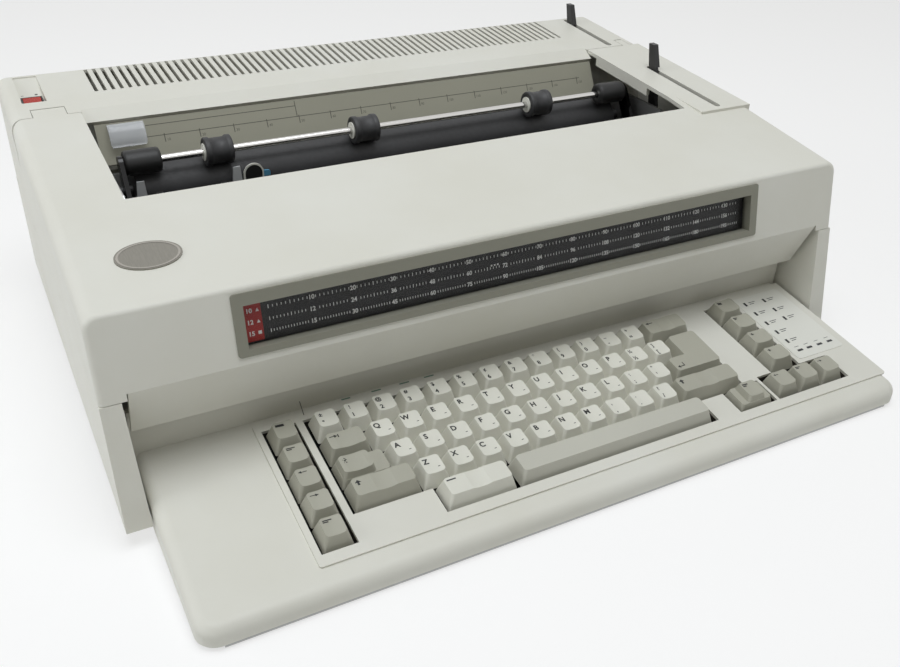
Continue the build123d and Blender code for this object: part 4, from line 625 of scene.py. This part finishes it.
def label_plate(plane):
    thick = 0.35
    plate = Print("label_plate", "case", "white_plastic", MATERIALS["label_plate"])
    outline = rounded(201.9, -31, 245.9, 42, 2.5)
    plate.outline(plane, outline, thick)
    for (xa, ya), (xb, yb) in zip(outline, outline[1:] + outline[:1]):
        first = len(plate.points)
        plate.points += [plane.point(xa, ya, 0.0), plane.point(xb, yb, 0.0),
                         plane.point(xb, yb, thick), plane.point(xa, ya, thick)]
        plate.faces.append((first, first + 1, first + 2, first + 3))
    plate.done()
    on_plate = thick + 0.05
    ink = Print("label_marks", "case", "white_plastic", INK)
    for x, rows in ((208, (34, 22, 10, -1, -12)), (226, (33, 21, 10))):
        for y in rows:
            ink.sign(plane, "bar", x, y, 2.0, 4.2, on_plate)
            ink.bar(plane, x + 3.6, y + 0.7, x + 10.0, y + 1.3, on_plate)
            ink.bar(plane, x + 3.6, y - 1.1, x + 8.0, y - 0.5, on_plate)
    for x in (210, 219, 229, 239):
        ink.sign(plane, "bar", x, -23.4, 5.0, 2.0, on_plate)
        ink.bar(plane, x - 2.0, -19.6, x + 2.0, -19.2, on_plate)
    ink.done()


def print_deck():
    plane = key_plane("keyboard_tray")
    label_plate(plane)
    green = Print("deck_marks", "case", "case_plastic", INK_GREEN)
    for x, wide in ((-112, 6.0), (-91, 6.5), (-71, 7.0), (-53, 7.0)):
        green.bar(plane, x - wide / 2, 49.8, x + wide / 2, 50.9)
        green.bar(plane, x - wide / 2, 47.9, x + wide / 5, 48.6)
    green.done()
    # Painted shade: a flat dark line standing for the shade in the deck's groove.
    groove_shade = Print("deck_groove_painted_shade", "case", "case_plastic", INK_LINE_AND_GROOVE_SHADE)
    groove_shade.bar(plane, -142.3, 45, -141.8, 61, 0.03)
    groove_shade.done()


def print_switch():
    well = Plane(SWITCH_WELL, (1, 0, 0), (0, 1, 0), "rear_cover")
    spots = Print("switch_marks", "case", "case_plastic", INK)
    spots.bar(well, -6.4, 13.2, -4.6, 13.8)
    spots.sign(well, "bar", 4.0, 13.6, 1.8, 1.8)
    spots.done()


# Pieces turned on an axis, and pieces with one outline through their depth
def turned(name, profile, middle, body, slot, offsets, replaces, steps=48):
    """Pieces turned on an axis along X: profile gives (x, radius) round one closed outline."""
    points, faces = [], []
    n = len(profile)
    for offset in offsets:
        first = len(points)
        for i in range(steps):
            a = 2 * math.pi * i / steps
            for x, r in profile:
                points.append(Vector((middle[0] + offset + x, middle[1] + r * math.cos(a),
                                      middle[2] + r * math.sin(a))) * MM)
        for i in range(steps):
            for k in range(n):
                j, m = (i + 1) % steps, (k + 1) % n
                faces.append((first + i * n + k, first + i * n + m, first + j * n + m, first + j * n + k))
    piece(name, points, faces, MATERIALS[slot], body, smooth=True, replaces=replaces)


def turned_rubber():
    """Bail rollers with raised ends, and sleeves with rounded ends, in place of the plain ones."""
    roller = [(-9.5, 6.0), (-9.5, 9.2), (-9.2, 9.8), (-8.7, 10.0), (-6.2, 10.0), (-5.6, 9.7), (-5.2, 9.1),
              (5.2, 9.1), (5.6, 9.7), (6.2, 10.0), (8.7, 10.0), (9.2, 9.8), (9.5, 9.2), (9.5, 6.0)]
    turned("bail_rollers_turned", roller, BAIL_ROD, "bail_rollers", "platen_rubber",
           (-140.0, -30.0, 121.0), ("bail_rollers",))
    inner = 179.5
    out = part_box("bail_grips")[1][0] / MM
    half = (out - inner) / 2
    sleeve = [(-half, 2.9), (-half, 6.6), (-half + 0.5, 7.8), (-half + 1.6, 8.4), (-half + 3.0, 8.5),
              (half - 3.0, 8.5), (half - 1.6, 8.4), (half - 0.5, 7.8), (half, 6.6), (half, 2.9)]
    turned("bail_grips_turned", sleeve, BAIL_ROD, "bail_frame", "dark_plastic",
           (-out + half, out - half), ("bail_grips",))


def slab(name, outline, depths, material, body, place):
    """Closed outline of (u, v) given to place(u, v, depth), with flat faces at the two depths."""
    n = len(outline)
    points = [Vector(place(u, v, depth)) * MM for depth in depths for u, v in outline]
    faces = [tuple(range(n)), tuple(reversed(range(n, 2 * n)))]
    faces += [(i, (i + 1) % n, (i + 1) % n + n, i + n) for i in range(n)]
    piece(name, points, faces, MATERIALS[material], body)


def tape_guide():
    """Hoop with its dark button and blue latch, on the right edge of the card guide."""
    def upright(u, v, depth):
        return u, depth, v

    cx, cz, low = -118.0, 124.2, 110.0
    outer, inner = 7.4, 6.2
    front, back = CARD_Y
    hoop = [(cx + outer, low), *arc(cx, cz, outer, 0, 180, 24), (cx - outer, low),
            (cx - inner, low), *arc(cx, cz, inner, 180, 0, 24), (cx + inner, low)]
    button = arc(cx, cz, inner + 0.1, 0, 352.5, 47)
    latch = [(cx + 7.2, 121.0), (cx + 11.4, 121.0), (cx + 12.0, 121.6), (cx + 12.0, 124.2),
             (cx + 11.2, 125.0), (cx + 7.2, 125.4)]
    for name, outline, inset, material, slot in (
        ("tape_hoop", hoop, 0.2, "white_plastic", "white_plastic"),
        ("tape_button", button, 0.4, "dark_plastic", "dark_plastic"),
        ("tape_latch", latch, 0.1, "latch_blue", "dark_plastic"),
    ):
        slab(name, outline, (front + inset, back - inset), material, "carrier", upright)


def corner_posts():
    """Upright posts inside the tray's rounded front corners."""
    rows = ((3.3, 11.95), (9.0, 11.92), (10.0, 11.76), (10.8, 11.55))
    back = 10.2
    turns = [math.radians(30 + 3 * i) for i in range(11)]
    n, last = len(turns), len(rows) - 1
    cx, cy = TRAY_CORNER
    points, faces = [], []
    for side in (-1, 1):
        first = len(points)
        for z, front in rows:
            for r in (front, back):
                points += [Vector((side * (cx + r * math.cos(turn)), cy - r * math.sin(turn), z)) * MM
                           for turn in turns]

        def at(row, layer, k):
            return first + (2 * row + layer) * n + k

        quads = []
        for row in range(last):
            for k in range(n - 1):
                quads.append((at(row, 0, k), at(row, 0, k + 1), at(row + 1, 0, k + 1), at(row + 1, 0, k)))
                quads.append((at(row, 1, k), at(row + 1, 1, k), at(row + 1, 1, k + 1), at(row, 1, k + 1)))
            for k, order in ((0, 1), (n - 1, -1)):
                quads.append((at(row, 0, k), at(row + 1, 0, k), at(row + 1, 1, k), at(row, 1, k))[::order])
        for k in range(n - 1):
            quads.append((at(0, 0, k), at(0, 1, k), at(0, 1, k + 1), at(0, 0, k + 1)))
            quads.append((at(last, 0, k), at(last, 0, k + 1), at(last, 1, k + 1), at(last, 1, k)))
        faces += quads if side > 0 else [q[::-1] for q in quads]
    piece("tray_corner_posts", points, faces, MATERIALS["case_plastic"], "case")


def tray_floor_edge():
    """Turned-down front edge of the tray's steel floor."""
    def along(u, v, depth):
        return depth, u, v

    edge = [(-219.4, 1.1), (-219.2, 0.8), (-218.7, 0.8), (-218.4, 1.1),
            (-218.4, 2.6), (-219.2, 2.6), (-219.4, 2.4)]
    half = 236.0
    slab("tray_floor_edge", edge, (-half, half), "plate_steel", "case", along)


def badge_rim():
    """Thin raised line inside the edge of the oval badge."""
    half_x, half_y, line, steps = 18.0, 13.0, (0.90, 0.97), 64
    low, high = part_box("badge")
    middle = [(a + b) / 2 / MM for a, b in zip(low, high)]
    plane = Plane(middle, (1, 0, 0), (0, 1, 0.13), "badge")
    rim = Print("badge_rim", "top_cover", "badge_print", MATERIALS["badge_print"])

    def at(step, k):
        turn = 2 * math.pi * step / steps
        return k * half_x * math.cos(turn), k * half_y * math.sin(turn)

    inner, outer = line
    for i in range(steps):
        rim.outline(plane, [at(i, inner), at(i + 1, inner), at(i + 1, outer), at(i, outer)], 0.12)
    rim.done()


# Light, floor and world
def background_rays(tree):
    """Value of 1 for rays that show the background: from the camera, mirrored or through glass."""
    path = tree.nodes.new("ShaderNodeLightPath").outputs
    mirrored = math_node(tree, "MAXIMUM", path["Is Camera Ray"], path["Is Glossy Ray"])
    return math_node(tree, "MAXIMUM", mirrored, path["Is Transmission Ray"])


def make_world():
    world = bpy.data.worlds.new("world")
    bpy.context.scene.world = world
    world.use_nodes = True
    tree = world.node_tree
    tree.nodes.clear()
    out = tree.nodes.new("ShaderNodeOutputWorld")
    seen = tree.nodes.new("ShaderNodeBackground")
    seen.inputs["Color"].default_value = (1.0, 1.0, 1.0, 1.0)
    light = tree.nodes.new("ShaderNodeBackground")
    light.inputs["Color"].default_value = (1.0, 1.0, 0.90, 1.0)
    light.inputs["Strength"].default_value = 0.20
    mix = tree.nodes.new("ShaderNodeMixShader")
    link(tree, background_rays(tree), mix.inputs["Fac"])
    link(tree, light.outputs["Background"], mix.inputs[1])
    link(tree, seen.outputs["Background"], mix.inputs[2])
    link(tree, mix.outputs["Shader"], out.inputs["Surface"])


def make_floor():
    """Pale floor that looks nearly white and keeps the machine's shadow."""
    white_share = 0.62
    bpy.ops.mesh.primitive_plane_add(size=8.0, location=(0, 0, 0))
    floor = bpy.context.object
    floor.name = "floor"
    material, tree, bsdf = shader("floor")
    bsdf.inputs["Base Color"].default_value = (0.93, 0.93, 0.93, 1.0)
    bsdf.inputs["Roughness"].default_value = 0.8
    white = tree.nodes.new("ShaderNodeEmission")
    mix = tree.nodes.new("ShaderNodeMixShader")
    link(tree, math_node(tree, "MULTIPLY", background_rays(tree), white_share), mix.inputs["Fac"])
    link(tree, bsdf.outputs["BSDF"], mix.inputs[1])
    link(tree, white.outputs["Emission"], mix.inputs[2])
    link(tree, mix.outputs["Shader"], tree.nodes["Material Output"].inputs["Surface"])
    floor.data.materials.append(material)


def make_lights():
    for name, place, aim, size, power in (
        ("side_light", (-1.7, 0.3, 0.75), (-0.2, 0.05, 0.1), 1.2, 9.0),
        ("top_light", (-0.1, -0.28, 1.75), (0.0, 0.0, 0.1), 1.3, 21.0),
        ("fill_light", (1.2, -1.0, 1.0), (0.1, -0.05, 0.1), 1.2, 0.5),
    ):
        data = bpy.data.lights.new(name, "AREA")
        data.shape = "DISK"
        data.size = size
        data.energy = power
        data.color = (0.93, 0.965, 1.0)
        lamp = bpy.data.objects.new(name, data)
        bpy.context.collection.objects.link(lamp)
        lamp.location = place
        lamp.rotation_euler = (Vector(aim) - Vector(place)).to_track_quat("-Z", "Y").to_euler()


bpy.context.scene.view_settings.view_transform = "Standard"
make_camera()
dress_nodes()
print_keys()
print_scale()
print_table()
edge_guide()
print_deck()
print_switch()
turned_rubber()
tape_guide()
corner_posts()
tray_floor_edge()
badge_rim()
make_world()
make_floor()
make_lights()
